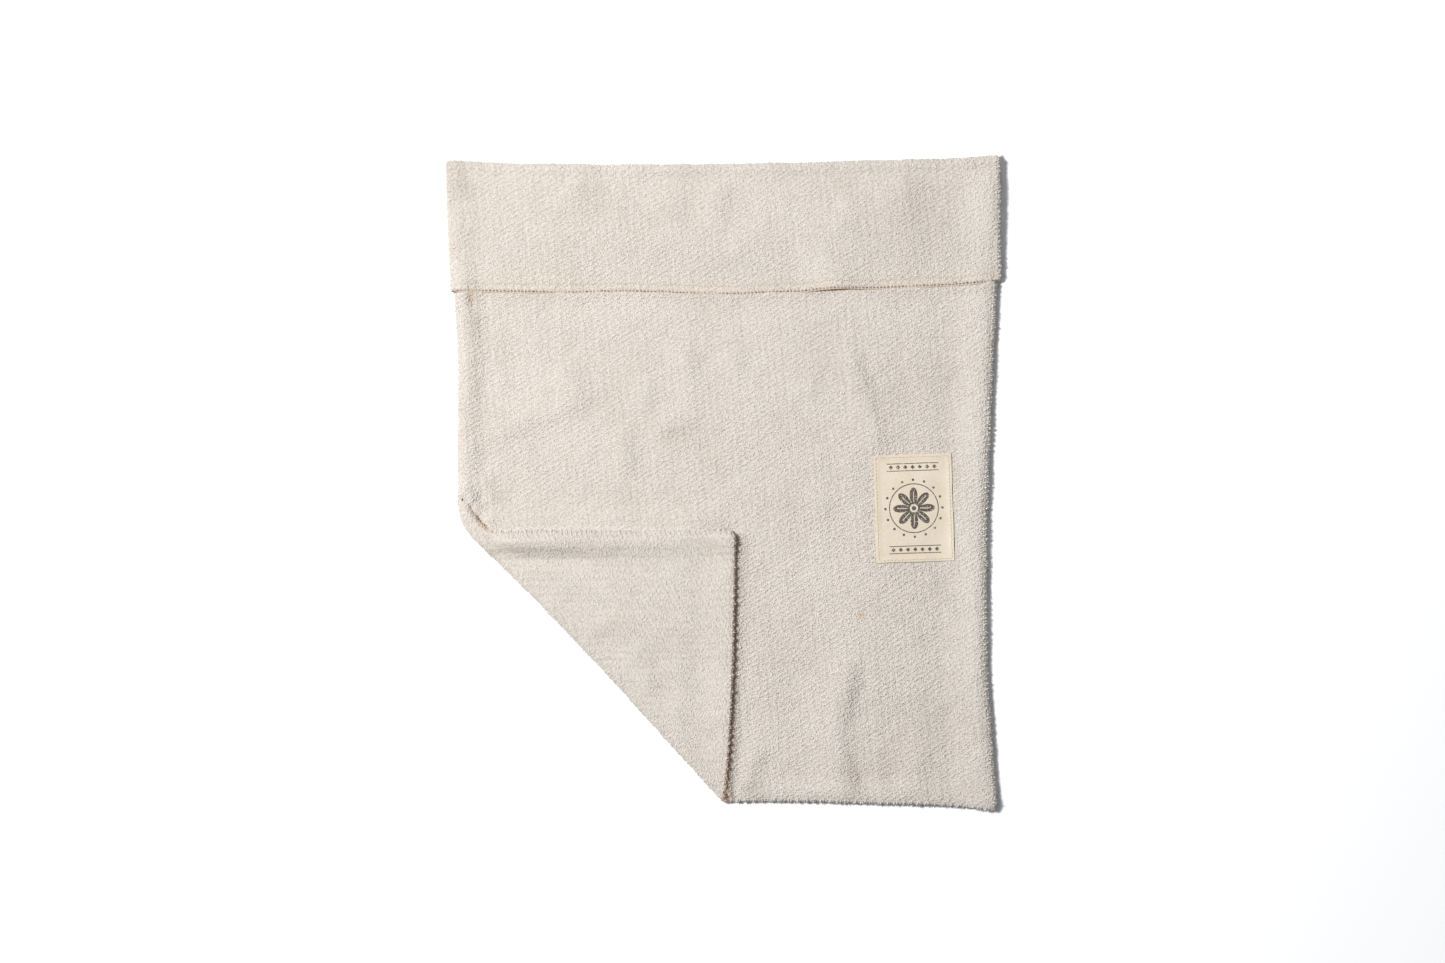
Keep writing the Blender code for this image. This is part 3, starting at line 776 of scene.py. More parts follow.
class Nodes:
    """The nodes of one new material with a Principled shader."""

    def __init__(self, name: str) -> None:
        """Makes the material."""
        self.material = bpy.data.materials.new(name)
        self.material.use_nodes = True
        self.tree = self.material.node_tree
        self.shader = self.tree.nodes["Principled BSDF"]

    def make(self, kind: str, settings: dict, sockets: dict, output: str | int = 0) -> Field:
        """Adds a node.

        Args:
            kind: Its type, without ShaderNode before it.
            settings: Properties, set first.
            sockets: Values or links of its inputs, by name or number.
            output: Name or number of the output that is wanted.

        Returns:
            That output.
        """
        node = self.tree.nodes.new("ShaderNode" + kind)
        for key, value in settings.items():
            setattr(node, key, value)
        for key, value in sockets.items():
            self.put(value, node.inputs[key])
        return Field(self, node.outputs[output])

    def put(self, value: "Field | float | tuple", socket: bpy.types.NodeSocket) -> None:
        """Links a field to a socket, or sets the socket's value."""
        if isinstance(value, Field):
            self.tree.links.new(value.socket, socket)
        else:
            socket.default_value = value

    def math(self, operation: str, *values: Field | float) -> Field:
        """Adds a Math node."""
        return self.make("Math", {"operation": operation}, dict(enumerate(values)))

    def plane(self, x: Field, y: Field) -> Field:
        """A place on a plane from two numbers."""
        return self.make("CombineXYZ", {}, {"X": x, "Y": y})

    def places(self, name: str) -> tuple[Field, Field]:
        """The two numbers of a UV map, in millimetres."""
        spot = self.make("UVMap", {"uv_map": name}, {})
        split = self.make("SeparateXYZ", {}, {"Vector": spot}).socket.node
        return Field(self, split.outputs["X"]), Field(self, split.outputs["Y"])

    def amount(self, name: str) -> Field:
        """A number that the mesh holds for each vertex."""
        return self.make("Attribute", {"attribute_name": name}, {}, "Fac")

    def noise(self, x: Field, y: Field, detail: float = 2.0, rough: float = 0.5) -> Field:
        """Soft noise on a plane, mean about 0.5, with features about one unit across."""
        sockets = {"Vector": self.plane(x, y), "Scale": 1.0, "Detail": detail, "Roughness": rough}
        return self.make("TexNoise", {"noise_dimensions": "2D"}, sockets, "Fac")

    def cells(self, x: Field, y: Field, jitter: float, blend: float) -> Field:
        """Distance to the nearest of scattered points, about one to a unit square."""
        settings = {"voronoi_dimensions": "2D", "feature": "SMOOTH_F1"}
        sockets = {"Vector": self.plane(x, y), "Scale": 1.0, "Randomness": jitter, "Smoothness": blend}
        return self.make("TexVoronoi", settings, sockets, "Distance")

    def mix(self, share: Field | float, first: Field | tuple, second: Field | tuple) -> Field:
        """Mixes two colours.

        Args:
            share: How much of the second one.
            first: A colour.
            second: Another.

        Returns:
            The colour between them.
        """
        node = self.tree.nodes.new("ShaderNodeMix")
        node.data_type = "RGBA"
        self.put(share, node.inputs[0])
        for value, socket in zip((first, second), (node.inputs[6], node.inputs[7])):
            self.put(value if isinstance(value, Field) else (*value, 1.0), socket)
        return Field(self, node.outputs[2])

    def finish(
        self,
        colour: Field | tuple,
        rough: float,
        height: Field | None = None,
        depth: float = 0.0,
        sheen: float = 0.0,
    ) -> None:
        """Feeds the shader.

        Args:
            colour: Base colour.
            rough: Roughness.
            height: Surface height in millimetres, or None.
            depth: Strength of the bump.
            sheen: Weight of the pale sheen of loose fibres.
        """
        inputs = self.shader.inputs
        self.put(colour if isinstance(colour, Field) else (*colour, 1.0), inputs["Base Color"])
        inputs["Roughness"].default_value = rough
        inputs["Specular IOR Level"].default_value = 0.25
        if height is not None:
            sockets = {"Strength": depth, "Distance": MM, "Height": height}
            self.put(self.make("Bump", {}, sockets), inputs["Normal"])
        if sheen:
            inputs["Sheen Weight"].default_value = sheen
            inputs["Sheen Roughness"].default_value = 0.4
            inputs["Sheen Tint"].default_value = (0.72, 0.86, 1.0, 1.0)


@dataclass(frozen=True)
class TerryKnit:
    """Finish of the pouch: natural cotton in small loops, whose rows make a low twill.

    The twill is a sum of plane waves over the cloth, the first two of which set its repeat. Each wave has its
    number of repeats in the first, the number in the second, and its height.
    """

    name: str = "natural_terry_knit"
    colour: Tint = (0.618, 0.566, 0.512)
    # Darker end of the mix, for the cotton's uneven tone and for painted shade between loops and on folds
    shade: Tint = (0.42, 0.362, 0.305)
    loop_colour: Tint = (0.72, 0.665, 0.61)
    # Painted brown shade of the crevices, warm as shade between cotton layers
    crevice_shade_brown: Tint = (0.56, 0.385, 0.255)
    first_wave: Pair = (0.2116, -0.3461)
    second_wave: Pair = (0.2394, 0.0224)
    waves: Table = ((1, 0, 1), (0, 1, 0.65), (2, -1, -0.37), (-1, 2, 0.16), (0, 2, -0.09))
    loop: Pair = (1.36, 1.10)
    # Shares of twill, loops and fibres in the height, and in the painted shade of the gaps between loops
    in_height: Sizes = (0.15, 0.72, 0.35)
    in_gap_shade: Sizes = (0.12, 1.1, 0.5)
    # How the tone wanders: size and strength of its clouds, size along and across of its streaks and strength
    cloud: Pair = (38, 0.35)
    streak: Sizes = (3, 16, 0.22)
    # Specks of husk in the cotton: their size, and their colour. The one brown fleck: its place and colour
    speck: Pair = (2.3, 1.5)
    husk: Tint = (0.62, 0.44, 0.27)
    fleck_at: Pair = (76.7, -74.4)
    fleck: Tint = (0.55, 0.33, 0.14)
    # How strongly the painted brown shade of the crevices shows
    crevice_shade_share: float = 0.7
    roughness: float = 0.96
    sheen: float = 0.5

    def tinted(self, u: Field, v: Field, tone: Field, colour: Tint, husks: Pair, wide: float) -> Field:
        """Colour of the cotton: its wandering tone with painted shade and light of the folds, then husks, the
        fleck and painted brown shade of the crevices.

        Args:
            u: Places round the tube.
            v: Places along it.
            tone: How much painted shade the gaps of the knit's own relief get.
            colour: Its palest colour.
            husks: From which noise on a husk shows, and its strength.
            wide: The fleck's width.

        Returns:
            The colour.
        """
        nodes = u.nodes
        cloud = nodes.noise(u / self.cloud[0], v / self.cloud[0]) - 0.5
        streak = nodes.noise(u / self.streak[0] + 9.0, v / self.streak[1]) - 0.5
        # Painted shade and light of the folds, read from the mesh
        tone = tone + self.cloud[1] * cloud + self.streak[2] * streak + nodes.amount("painted_shading")
        made = nodes.mix(tone.most(0.0), colour, self.shade)
        husk = nodes.noise(u / self.speck[0] + 70.0, v / self.speck[1], 1.0).step(husks[0], 0.80)
        made = nodes.mix(husks[1] * husk, made, self.husk)
        long, across = (u - self.fleck_at[0]) / 2.6, (v - self.fleck_at[1]) / wide
        made = nodes.mix(0.75 * (long * long + across * across).step(1.0, 0.4), made, self.fleck)
        # Painted brown shade in the crevices
        return nodes.mix(self.crevice_shade_share * nodes.amount("crevice_shade"), made, self.crevice_shade_brown)

    def turns(self, x: Field | Numbers, y: Field | Numbers) -> tuple:
        """The angles of the first two waves at a place."""
        waves = (self.first_wave, self.second_wave)
        return tuple(2 * pi * (along * x + across * y) for along, across in waves)

    def material(self) -> Material:
        """Builds the material, which reads the pouch's Cloth map."""
        nodes = Nodes(self.name)
        u, v = nodes.places("Cloth")
        sway = nodes.noise(u / 9.0, v / 9.0) - 0.5
        stray = nodes.noise(u / 5.0 + 40.0, v / 5.0) - 0.5
        x, y = u + 1.6 * sway, v + 1.2 * stray
        first, second = self.turns(x, y)
        twill = None
        for in_first, in_second, size in self.waves:
            wave = (in_first * first + in_second * second).cosine() * size
            twill = wave if twill is None else twill + wave
        loops = 0.75 - nodes.cells(x / self.loop[0] + 0.5 * y / self.loop[1], y / self.loop[1], 0.9, 0.35)
        fibres = nodes.noise(u / 0.55, v / 0.45, 2.0, 0.6) - 0.5
        # Low places of the relief are the gaps between loops, which get painted shade
        height, gap_shade = (a * twill + b * loops + c * fibres for a, b, c in (self.in_height, self.in_gap_shade))
        gap_shade = gap_shade.step(0.55, 0.05)
        colour = self.tinted(u, v, 0.62 * gap_shade, self.colour, (0.74, 0.30), 0.7)
        nodes.finish(colour, self.roughness, height, 0.55, self.sheen)
        return nodes.material

    def loop_material(self) -> Material:
        """Builds the material of the loops themselves, whose Cloth map holds one place for each loop."""
        nodes = Nodes("terry_loop_cotton")
        u, v = nodes.places("Cloth")
        single = nodes.noise(u * 1.9 + 20.0, v * 1.9, 1.0) - 0.5
        colour = self.tinted(u, v, 0.20 + 0.7 * single, self.loop_colour, (0.72, 0.35), 0.8)
        nodes.finish(colour, self.roughness, sheen=self.sheen)
        return nodes.material

    def twill(self, u: Numbers, v: Numbers) -> Numbers:
        """The same sum of waves in numbers, from about -1 to 1."""
        first, second = self.turns(u, v)
        return sum(size * np.cos(a * first + b * second) for a, b, size in self.waves) / 1.6


@dataclass(frozen=True)
class CottonThread:
    """Finish of sewing thread: two plies of plain cotton."""

    name: str
    colour: Tint

    def material(self) -> Material:
        """Builds the material, whose Thread map runs round and along."""
        nodes = Nodes(self.name)
        turn, along = nodes.places("Thread")
        ply = (2 * pi * (2.0 * turn + along / 0.9)).cosine()
        # The grooves between the plies get painted shade
        tone = 0.18 * (1.0 - ply)
        ply_groove_shade = tuple(0.6 * part for part in self.colour)
        nodes.finish(nodes.mix(tone, self.colour, ply_groove_shade), 0.8, 0.03 * ply, 0.8)
        return nodes.material


@dataclass(frozen=True)
class PrintedWeave:
    """Finish of the label: plain woven cotton with a printed rosette between two borders."""

    name: str = "label_weave"
    colour: Tint = (0.675, 0.600, 0.492)
    shade: Tint = (0.50, 0.41, 0.29)
    ink: Tint = (0.062, 0.050, 0.043)
    petals: int = 8
    petal_reach: Pair = (3.6, 11.6)
    ring: Pair = (13.6, 0.28)
    dots: Sizes = (15.9, 0.72, 16)
    border_line: float = 23.0
    border_half: float = 2.0
    border_reach: float = 14.5
    diamond: Pair = (4.05, 1.25)
    # How far an edge of the ink blurs, each way
    blur: float = 0.1

    def inked(self, past: Field) -> Field:
        """1 inside an outline, 0 outside, by the distance past it."""
        return past.step(self.blur, -self.blur)

    def rosette(self, x: Field, y: Field) -> Field:
        """Ink of the rosette: petals of reach a + b |cos(4 turn)|, each with a bare vein, in a ring with dots.

        Args:
            x: Places across, from the middle.
            y: Places along, from the middle.

        Returns:
            1 where there is ink, 0 where there is none.
        """
        radius = (x * x + y * y).math("SQRT")
        turn = y.math("ARCTAN2", x) * (self.petals / 2)
        lobe = abs(turn.cosine())
        edge = self.petal_reach[0] + (self.petal_reach[1] - self.petal_reach[0]) * lobe**0.75
        petal = (radius - edge).step(0.12, -0.12) * (radius - 2.3).step(-0.1, 0.1)
        vein_side = abs(turn.math("SINE")) * radius / (self.petals / 2)
        vein = vein_side.step(0.26, 0.14) * radius.step(3.4, 3.8) * radius.step(9.6, 9.0) * lobe.step(0.5, 0.6)
        heart = radius.step(1.35, 1.15)
        ring = abs(radius - self.ring[0]).step(self.ring[1] + 0.08, self.ring[1] - 0.08)
        dot_radius, dot_size, dot_count = self.dots
        sector = y.math("ARCTAN2", x) * (dot_count / (2 * pi))
        off = (sector - sector.math("ROUND")) * (2 * pi * dot_radius / dot_count)
        out = radius - dot_radius
        dots = (off * off + out * out).math("SQRT").step(dot_size + self.blur, dot_size - self.blur)
        return (petal * (1.0 - vein)).most(heart).most(ring).most(dots)

    def borders(self, x: Field, y: Field) -> Field:
        """Ink of the borders above and below: a row of diamonds between two lines.

        Args:
            x: Places across, from the middle.
            y: Places along, from the middle.

        Returns:
            1 where there is ink, 0 where there is none.
        """
        off = abs(abs(y) - self.border_line)
        lines = abs(off - self.border_half).step(0.30, 0.16)
        pitch, half = self.diamond
        cell = x / pitch
        across = abs(cell - cell.math("ROUND")) * pitch
        return lines.most(self.inked(across + off - half)) * self.inked(abs(x) - self.border_reach)

    def material(self) -> Material:
        """Builds the material, which reads the label's Cloth map."""
        nodes = Nodes(self.name)
        x, y = nodes.places("Cloth")
        warp = nodes.noise(x / 0.42, y / 2.6, 2.0, 0.6) - 0.5
        weft = nodes.noise(x / 2.6 + 30.0, y / 0.42, 2.0, 0.6) - 0.5
        cloud = nodes.noise(x / 14.0, y / 14.0) - 0.5
        tone = (0.22 + 0.55 * warp + 0.55 * weft + 0.5 * cloud).most(0.0)
        cloth = nodes.mix(tone, self.colour, self.shade)
        ink = self.rosette(x, y).most(self.borders(x, y))
        worn = (nodes.noise(x / 0.8, y / 0.8, 3.0, 0.7) + 0.5 * warp + 0.5 * weft).step(0.27, 0.40)
        nodes.finish(nodes.mix(0.95 * ink * worn, cloth, self.ink), 0.9, 0.16 * (warp + weft), 0.7)
        return nodes.material


@dataclass(frozen=True)
class PouchCloth:
    """The pouch itself, one cloth: an outside and an inside skin on the folds, joined round the mouth."""

    shape: PouchShape
    name: str = "terry_pouch"
    step: float = 2.3
    inside_step: float = 8.0
    # Spacing of the rows by the cuff's edge, and how far below and above it they lie so
    close_step: float = 0.75
    close_span: Pair = (2.2, 7)
    edge_turn: int = 5
    edge_steps: Sizes = (1.1, 2.3, 3.6, 5.1, 6.8)
    fold_cuts: int = 14
    early_cuts: int = 22
    early_along: float = -70.0
    turn_rows: int = 12
    rim_turn: int = 4
    cut_snap: float = 0.12
    # How far along the Cloth map the inside lies past the outside
    inside_shift: float = 600.0
    # The flat pouch's box in the bake's map: low x, low v, width, height
    bake_box: Sizes = (-156, -184, 312, 434)
    # Each skin's place there: width, height, start along, start across of its front and of its back
    outside_island: Sizes = (0.49, 0.68, 0.005, 0.005, 0.505)
    inside_island: Sizes = (0.20, 0.28, 0.70, 0.005, 0.25)

    def stations(self, reach: float) -> Numbers:
        """Distances in from an edge at which its rounding and roll are stepped."""
        rounding = reach * (1 - np.cos(0.5 * pi * np.arange(self.edge_turn + 1) / self.edge_turn))
        return np.concatenate([rounding, reach + np.array(self.edge_steps)])

    def columns(self) -> tuple[Numbers, Numbers]:
        """Each column's share of the width and its offset, so that x = left + share * width + offset."""
        near = self.stations(self.shape.edge_reach)
        count = round(300.0 / self.step)
        t = np.linspace(0.0, 1.0, count + 1)[1:-1]
        share = np.concatenate([np.zeros(len(near)), t, np.ones(len(near))])
        offset = np.concatenate([near, near[-1] * (1 - 2 * t), -near[::-1]])
        return share, offset

    def rows(self, step: float) -> Numbers:
        """v of each row, from the bottom seam to the mouth's rim.

        Args:
            step: Spacing of the rows away from the seam and the fold.

        Returns:
            The rows, in order.
        """
        shape = self.shape
        low = shape.bottom + self.stations(shape.seam_reach)
        turn_end = shape.cuff_fold + shape.half_turn
        below, above = self.close_span
        starts = (low[-1], shape.cuff_edge - below, shape.cuff_edge + above, shape.cuff_fold)
        spans = zip(starts, starts[1:], (step, min(step, self.close_step), step))
        body = np.concatenate([np.linspace(a, b, round((b - a) / space) + 1)[1:] for a, b, space in spans])
        turn = np.linspace(shape.cuff_fold, turn_end, self.turn_rows + 1)[1:]
        last = shape.mouth - shape.cloth / 2
        cuff = np.linspace(turn_end, last, round((last - turn_end) / step) + 1)[1:]
        return np.concatenate([low, body, turn, cuff])

    def layer(self, side: int, rows: Numbers) -> Numbers:
        """Middle surface of one layer of the flat pouch, a grid over its columns and rows.

        Args:
            side: 1 for the front, -1 for the back.
            rows: v of each row.

        Returns:
            x, v and height of each grid point.
        """
        shape = self.shape
        share, offset = self.columns()
        v = np.broadcast_to(rows[:, None], (len(rows), len(share)))
        left, right = shape.left(v), shape.right(v)
        x = left + (right - left) * share + offset
        apart = shape.apart(x, v) * shape.rounding(v - shape.bottom, shape.seam_reach)
        return shape.layer(np.full_like(x, side), x, v, apart)

    def flat(self, rows: Numbers) -> tuple[Mesh, Numbers]:
        """Middle surface of the whole flat pouch, cut along the lines at which the diagonal fold turns.

        Args:
            rows: v of each row.

        Returns:
            The mesh, in millimetres, whose material numbers are 0 on the front and 1 on the back, and the
            vertices of its mouth in order round it.
        """
        shape = self.shape
        front, back = self.layer(1, rows), self.layer(-1, rows)
        count, across = front.shape[:2]
        front_at = np.arange(count * across).reshape(count, across)
        inner = np.ones((count, across), bool)
        inner[0] = inner[:, 0] = inner[:, -1] = False
        back_at = front_at.copy()
        back_at[inner] = count * across + np.arange(inner.sum())
        points = np.concatenate([front.reshape(-1, 3), back[inner]])
        front_quads, back_quads = quads(front_at), quads(back_at)[:, ::-1]
        mesh = make_mesh("flat", points, Faces.of(front_quads, back_quads))
        for name in ("front", "back"):
            mesh.materials.append(bpy.data.materials.get(name) or bpy.data.materials.new(name))
        side = np.repeat([0, 1], [len(front_quads), len(back_quads)]).astype(np.int32)
        mesh.polygons.foreach_set("material_index", side)
        cut = bmesh.new()
        cut.from_mesh(mesh)
        way, along = Vector((*shape.corner_way, 0.0)), Vector((*shape.corner_along, 0.0))
        for k in range(-self.early_cuts, self.fold_cuts + 1):
            reach = shape.corner_fold + shape.half_turn * k / self.fold_cuts
            faces = cut.faces[:]
            if k < 0:
                faces = [face for face in faces if along.dot(face.calc_center_median()) < self.early_along]
            edges = list({edge for face in faces for edge in face.edges})
            corners = list({vertex for face in faces for vertex in face.verts})
            geometry = corners + edges + faces
            bmesh.ops.bisect_plane(cut, geom=geometry, dist=self.cut_snap, plane_co=way * reach, plane_no=way)
        cut.to_mesh(mesh)
        cut.free()
        return mesh, np.concatenate([front_at[-1], back_at[-1, -2:0:-1]])

    def skin(self, rows: Numbers, way: int) -> tuple[Numbers, Numbers, Faces, Numbers, Numbers]:
        """One skin of the cloth: the middle surface moved half a thickness along its normals.

        Args:
            rows: v of each row.
            way: 1 for the outside, -1 for the inside.

        Returns:
            Flat points, their normals, the faces, whether each face is on the back, and the mouth's vertices.
        """
        mesh, mouth = self.flat(rows)
        points, normals = (read(mesh.vertices, name, np.float32, 3) for name in ("co", "normal"))
        points, normals = points.reshape(-1, 3).astype(float), normals.reshape(-1, 3).astype(float)
        loops = read(mesh.loops, "vertex_index", np.int32).astype(np.int64)
        sizes, back = (read(mesh.polygons, name, np.int32) for name in ("loop_total", "material_index"))
        bpy.data.meshes.remove(mesh)
        faces = Faces(loops, sizes)
        if way > 0:
            outside = points + normals * self.shape.outside_rise(points, normals)[:, None]
            return outside, normals, faces, back, mouth
        return points - normals * self.shape.cloth / 2, normals, faces.flipped(), back, mouth

    def maps(self, flat: Numbers, faces: Faces, back: Numbers, inside: Numbers) -> tuple[Numbers, Numbers]:
        """The Cloth map, in millimetres round and along the tube, and the map that a bake goes through.

        Args:
            flat: Flat points.
            faces: All the faces.
            back: Whether each face is on the back.
            inside: Whether each face is on the inside skin or the rim.

        Returns:
            Both maps, one place for each loop.
        """
        x, v = flat[faces.loops, 0], flat[faces.loops, 1]
        behind, within = back[faces.owner] > 0, inside[faces.owner] > 0
        round_it = np.where(behind, self.shape.back_start - x, x)
        cloth = np.stack([round_it, v + np.where(within, self.inside_shift, 0.0)], axis=1)
        low_x, low_v, box_wide, box_high = self.bake_box
        islands = zip(self.inside_island, self.outside_island)
        wide, high, start_v, front_x, back_x = (np.where(within, *sizes) for sizes in islands)
        across, along = (x - low_x) / box_wide, (v - low_v) / box_high
        bake = np.stack([np.where(behind, back_x, front_x) + wide * across, start_v + high * along], axis=1)
        return cloth, bake

    def build(self, material: Material) -> Piece:
        """Joins the outside and the inside skin by a round rim, folds them and makes the piece.

        Args:
            material: The knit's finish.

        Returns:
            The piece.
        """
        shape = self.shape
        outer, outer_normals, outer_faces, outer_back, outer_mouth = self.skin(self.rows(self.step), 1)
        inner, _, inner_faces, inner_back, inner_mouth = self.skin(self.rows(self.inside_step), -1)
        half = shape.cloth / 2
        angle = pi / 2 - pi * np.arange(1, self.rim_turn) / self.rim_turn
        rim_normals = outer_normals[outer_mouth]
        middle = (outer[outer_mouth] + inner[inner_mouth]) / 2
        spread = (outer[outer_mouth] - inner[inner_mouth]) / 2
        rim = middle + spread * np.sin(angle)[:, None, None]
        rim = rim + np.array([0.0, half, 0.0]) * np.cos(angle)[:, None, None]
        count, ring = len(outer) + len(inner), len(rim_normals)
        rings = np.concatenate([
            outer_mouth[None],
            count + np.arange(rim[..., 0].size).reshape(-1, ring),
            (len(outer) + inner_mouth)[None],
        ])
        rim_faces = Faces.of(quads(np.concatenate([rings, rings[:, :1]], axis=1))[:, ::-1])
        flat = np.concatenate([outer, inner, rim.reshape(-1, 3)])
        faces = outer_faces + inner_faces.moved_on(len(outer)) + rim_faces
        across = len(self.columns()[0])
        rim_back = np.tile(np.arange(ring) >= across - 1, len(rings) - 1).astype(np.int32)
        back = np.concatenate([outer_back, inner_back, rim_back])
        inside = np.repeat([0, 1, 0], [len(outer_back), len(inner_back), len(rim_back)])
        folded = shape.fold(flat)
        folded[:, 2] = folded[:, 2].clip(0.0)
        mesh = make_mesh(self.name, folded, faces)
        cloth_map, bake_map = self.maps(flat, faces, back, inside)
        add_map(mesh, "Cloth", cloth_map)
        add_map(mesh, "OFBake", bake_map)
        on_front = flat[:, 2] > shape.stack / 2
        shape.shade(mesh, on_front, flat[:, 0], flat[:, 1])
        piece = add_piece(self.name, mesh, material)
        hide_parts("bag_cloth")
        return piece


def tubes(paths: Numbers, outward: Numbers, radius: float, sides: int) -> tuple[Numbers, Faces, Numbers]:
    """Carries a circle along many paths at once: point = path + radius (cos a * outward + sin a * across).

    Args:
        paths: Tube, point and place, in metres.
        outward: A vector for each point that isn't along the path.
        radius: The thread's radius, in metres.
        sides: Sides of the circle.

    Returns:
        Points, faces with closed ends, and for each loop its share of a turn and its millimetres along.
    """
    count, steps = paths.shape[:2]
    tangent = unit(np.gradient(paths, axis=1))
    across = unit(np.cross(tangent, outward))
    up = np.cross(across, tangent)
    angle = 2 * pi * np.arange(sides) / sides
    circle = np.cos(angle)[:, None] * up[:, :, None] + np.sin(angle)[:, None] * across[:, :, None]
    points = paths[:, :, None] + radius * circle
    at = np.arange(points[..., 0].size).reshape(count, steps, sides)
    around = np.concatenate([at, at[:, :, :1]], axis=2)
    corners = [around[:, :-1, :-1], around[:, 1:, :-1], around[:, 1:, 1:], around[:, :-1, 1:]]
    walls = np.stack([corner.ravel() for corner in corners], axis=1)
    faces = Faces.of(walls, at[:, 0], at[:, -1, ::-1])
    gone = np.linalg.norm(np.diff(paths, axis=1), axis=-1).cumsum(axis=1) / MM
    gone = np.concatenate([np.zeros((count, 1)), gone], axis=1)
    length = np.repeat(gone.ravel(), sides)[faces.loops]
    turn = np.tile(np.arange(sides) / sides, count * steps)[faces.loops]
    return points.reshape(-1, 3), faces, np.stack([turn, length], axis=1)


def sew(name: str, threads: list, radius: float, sides: int, material: Material) -> Piece:
    """Makes a piece of many short threads.

    Args:
        name: The piece's name.
        threads: Groups of paths, each with its outward vectors, as tubes() takes them.
        radius: The thread's radius, in millimetres.
        sides: Sides of its circle.
        material: Its finish.

    Returns:
        The piece.
    """
    paths, outward = (np.concatenate(parts) for parts in zip(*threads))
    points, faces, thread_map = tubes(paths, outward, radius * MM, sides)
    mesh = make_mesh(name, points, faces)
    add_map(mesh, "Thread", thread_map)
    return add_piece(name, mesh, material)


@dataclass(frozen=True)
class TerryLoops:
    """The terry's loops where the bag shows them: small closed grains, half sunk in the cloth, in slanted rows.

    A loop has an end each way along it, a flank each way across it, a crown above and a root in the cloth.
    """

    shape: PouchShape
    knit: TerryKnit
    row: Pair = (0.988, 0.605)
    column: Pair = (0.114, -1.376)
    stray: float = 0.52
    half_length: float = 0.64
    half_width: float = 0.47
    crown: float = 0.74
    growth: float = 0.3
    root: float = 0.6
    end_sink: float = 0.12
    # How a loop's sizes vary: shares of its length, width and crown, then its crown's lean and its ends' tilt
    length_range: Pair = (0.8, 1.2)
    width_range: Pair = (0.85, 1.15)
    crown_range: Pair = (0.65, 1.35)
    lean: float = 0.3
    tilt: float = 0.12
    # The loops stand higher to the lower right: the way that counts, and the span over which they grow
    growth_way: Pair = (0.7, -0.3)
    growth_span: Pair = (-60, 110)
    # Ways of the loops: share of the rows' own angle, spread in radians
    row_share: float = 0.6
    row_spread: float = 1.3
    # Half the lattices' width, the front's split, and how far its loops go under cuff, flap and fold
    field: float = 156.0
    split: float = -5.0
    under_cuff: float = 4.0
    under_flap: float = 3.0
    clear_fold: float = 0.5
    corner_low: Pair = (-240, -260)
    corner_high: Pair = (60, 40)
    # Rows round the edges: how many, their pitch, how far they stay from seam and mouth, the seam's span
    edge_rows: int = 8
    edge_pitch: float = 1.25
    edge_ends: Pair = (1.5, 2)
    seam_span: Pair = (-151, 153)
    turn_stray: float = 0.1
    most_turn: float = 1.5
    waviness: float = 0.20
    edge_waviness: float = 0.85
    clear: float = 0.35
    rim_clear: float = 0.6
    seed: int = 41

    def lattice(self, low: Pair, high: Pair, draw: Draw) -> Numbers:
        """Places of the slanted lattice in a rectangle, each moved a little at random.

        Args:
            low: The rectangle's lowest corner.
            high: Its highest corner.
            draw: Where the random moves come from.

        Returns:
            One place in a row.
        """
        basis = np.array([self.row, self.column])
        corners = np.array([[a, b] for a in (low[0], high[0]) for b in (low[1], high[1])])
        corners = corners @ np.linalg.inv(basis)
        counts = [np.arange(floor(ends.min()), ceil(ends.max()) + 1) for ends in corners.T]
        first, second = np.meshgrid(*counts)
        spots = np.stack([first.ravel(), second.ravel()], axis=1) @ basis
        spots = spots + draw.uniform(-self.stray, self.stray, spots.shape)
        return spots[((spots > low) & (spots < high)).all(axis=1)]

    def inside_edges(self, x: Numbers, v: Numbers) -> Numbers:
        """Finds the places of the flat pouch that lie in from its side edges, its seam and its mouth.

        Args:
            x: Places across.
            v: Places along.

        Returns:
            Whether each does.
        """
        shape = self.shape
        reach = shape.edge_reach + self.clear
        across = np.minimum(x - shape.left(v), shape.right(v) - x)
        rim = shape.mouth - shape.cloth / 2
        return (np.minimum(across, v - shape.bottom) > reach) & (v < rim - self.rim_clear)

    def stretched(self, gone: Numbers) -> Numbers:
        """Takes lengths on the outside of a fold, from where it begins, to lengths of the cloth's middle."""
        wide, inner = self.shape.outer_turn, self.shape.half_turn
        return np.where(gone < wide, gone * inner / wide, gone - wide + inner)

    def face(self, side: float, x: Numbers, v: Numbers) -> Numbers:
        """The middle surface of a layer by x and v."""
        return self.shape.layer(np.full_like(x, side), x, v, np.ones_like(x))

    def side_edge(self, hand: int, turn: Numbers, v: Numbers) -> Numbers:
        """The middle surface round a side edge: x = edge in by reach (1 - cos turn), height by sin turn.

        Args:
            hand: -1 for the left edge, 1 for the right one.
            turn: The turn from the back to the front.
            v: Places along.

        Returns:
            x, v and height.
        """
        shape = self.shape
        edge = shape.left(v) if hand < 0 else shape.right(v)
        x = edge - hand * shape.edge_reach * (1 - np.cos(turn))
        low = shape.rounding(v - shape.bottom, shape.seam_reach)
        return shape.layer(np.sign(turn), x, v, np.abs(np.sin(turn)) * low)

    def low_edge(self, x: Numbers, turn: Numbers) -> Numbers:
        """The middle surface round the bottom seam, by x and by the turn from the back to the front."""
        shape = self.shape
        v = shape.bottom + shape.seam_reach * (1 - np.cos(turn))
        return shape.layer(np.sign(turn), x, v, np.abs(np.sin(turn)) * shape.apart(x, v))

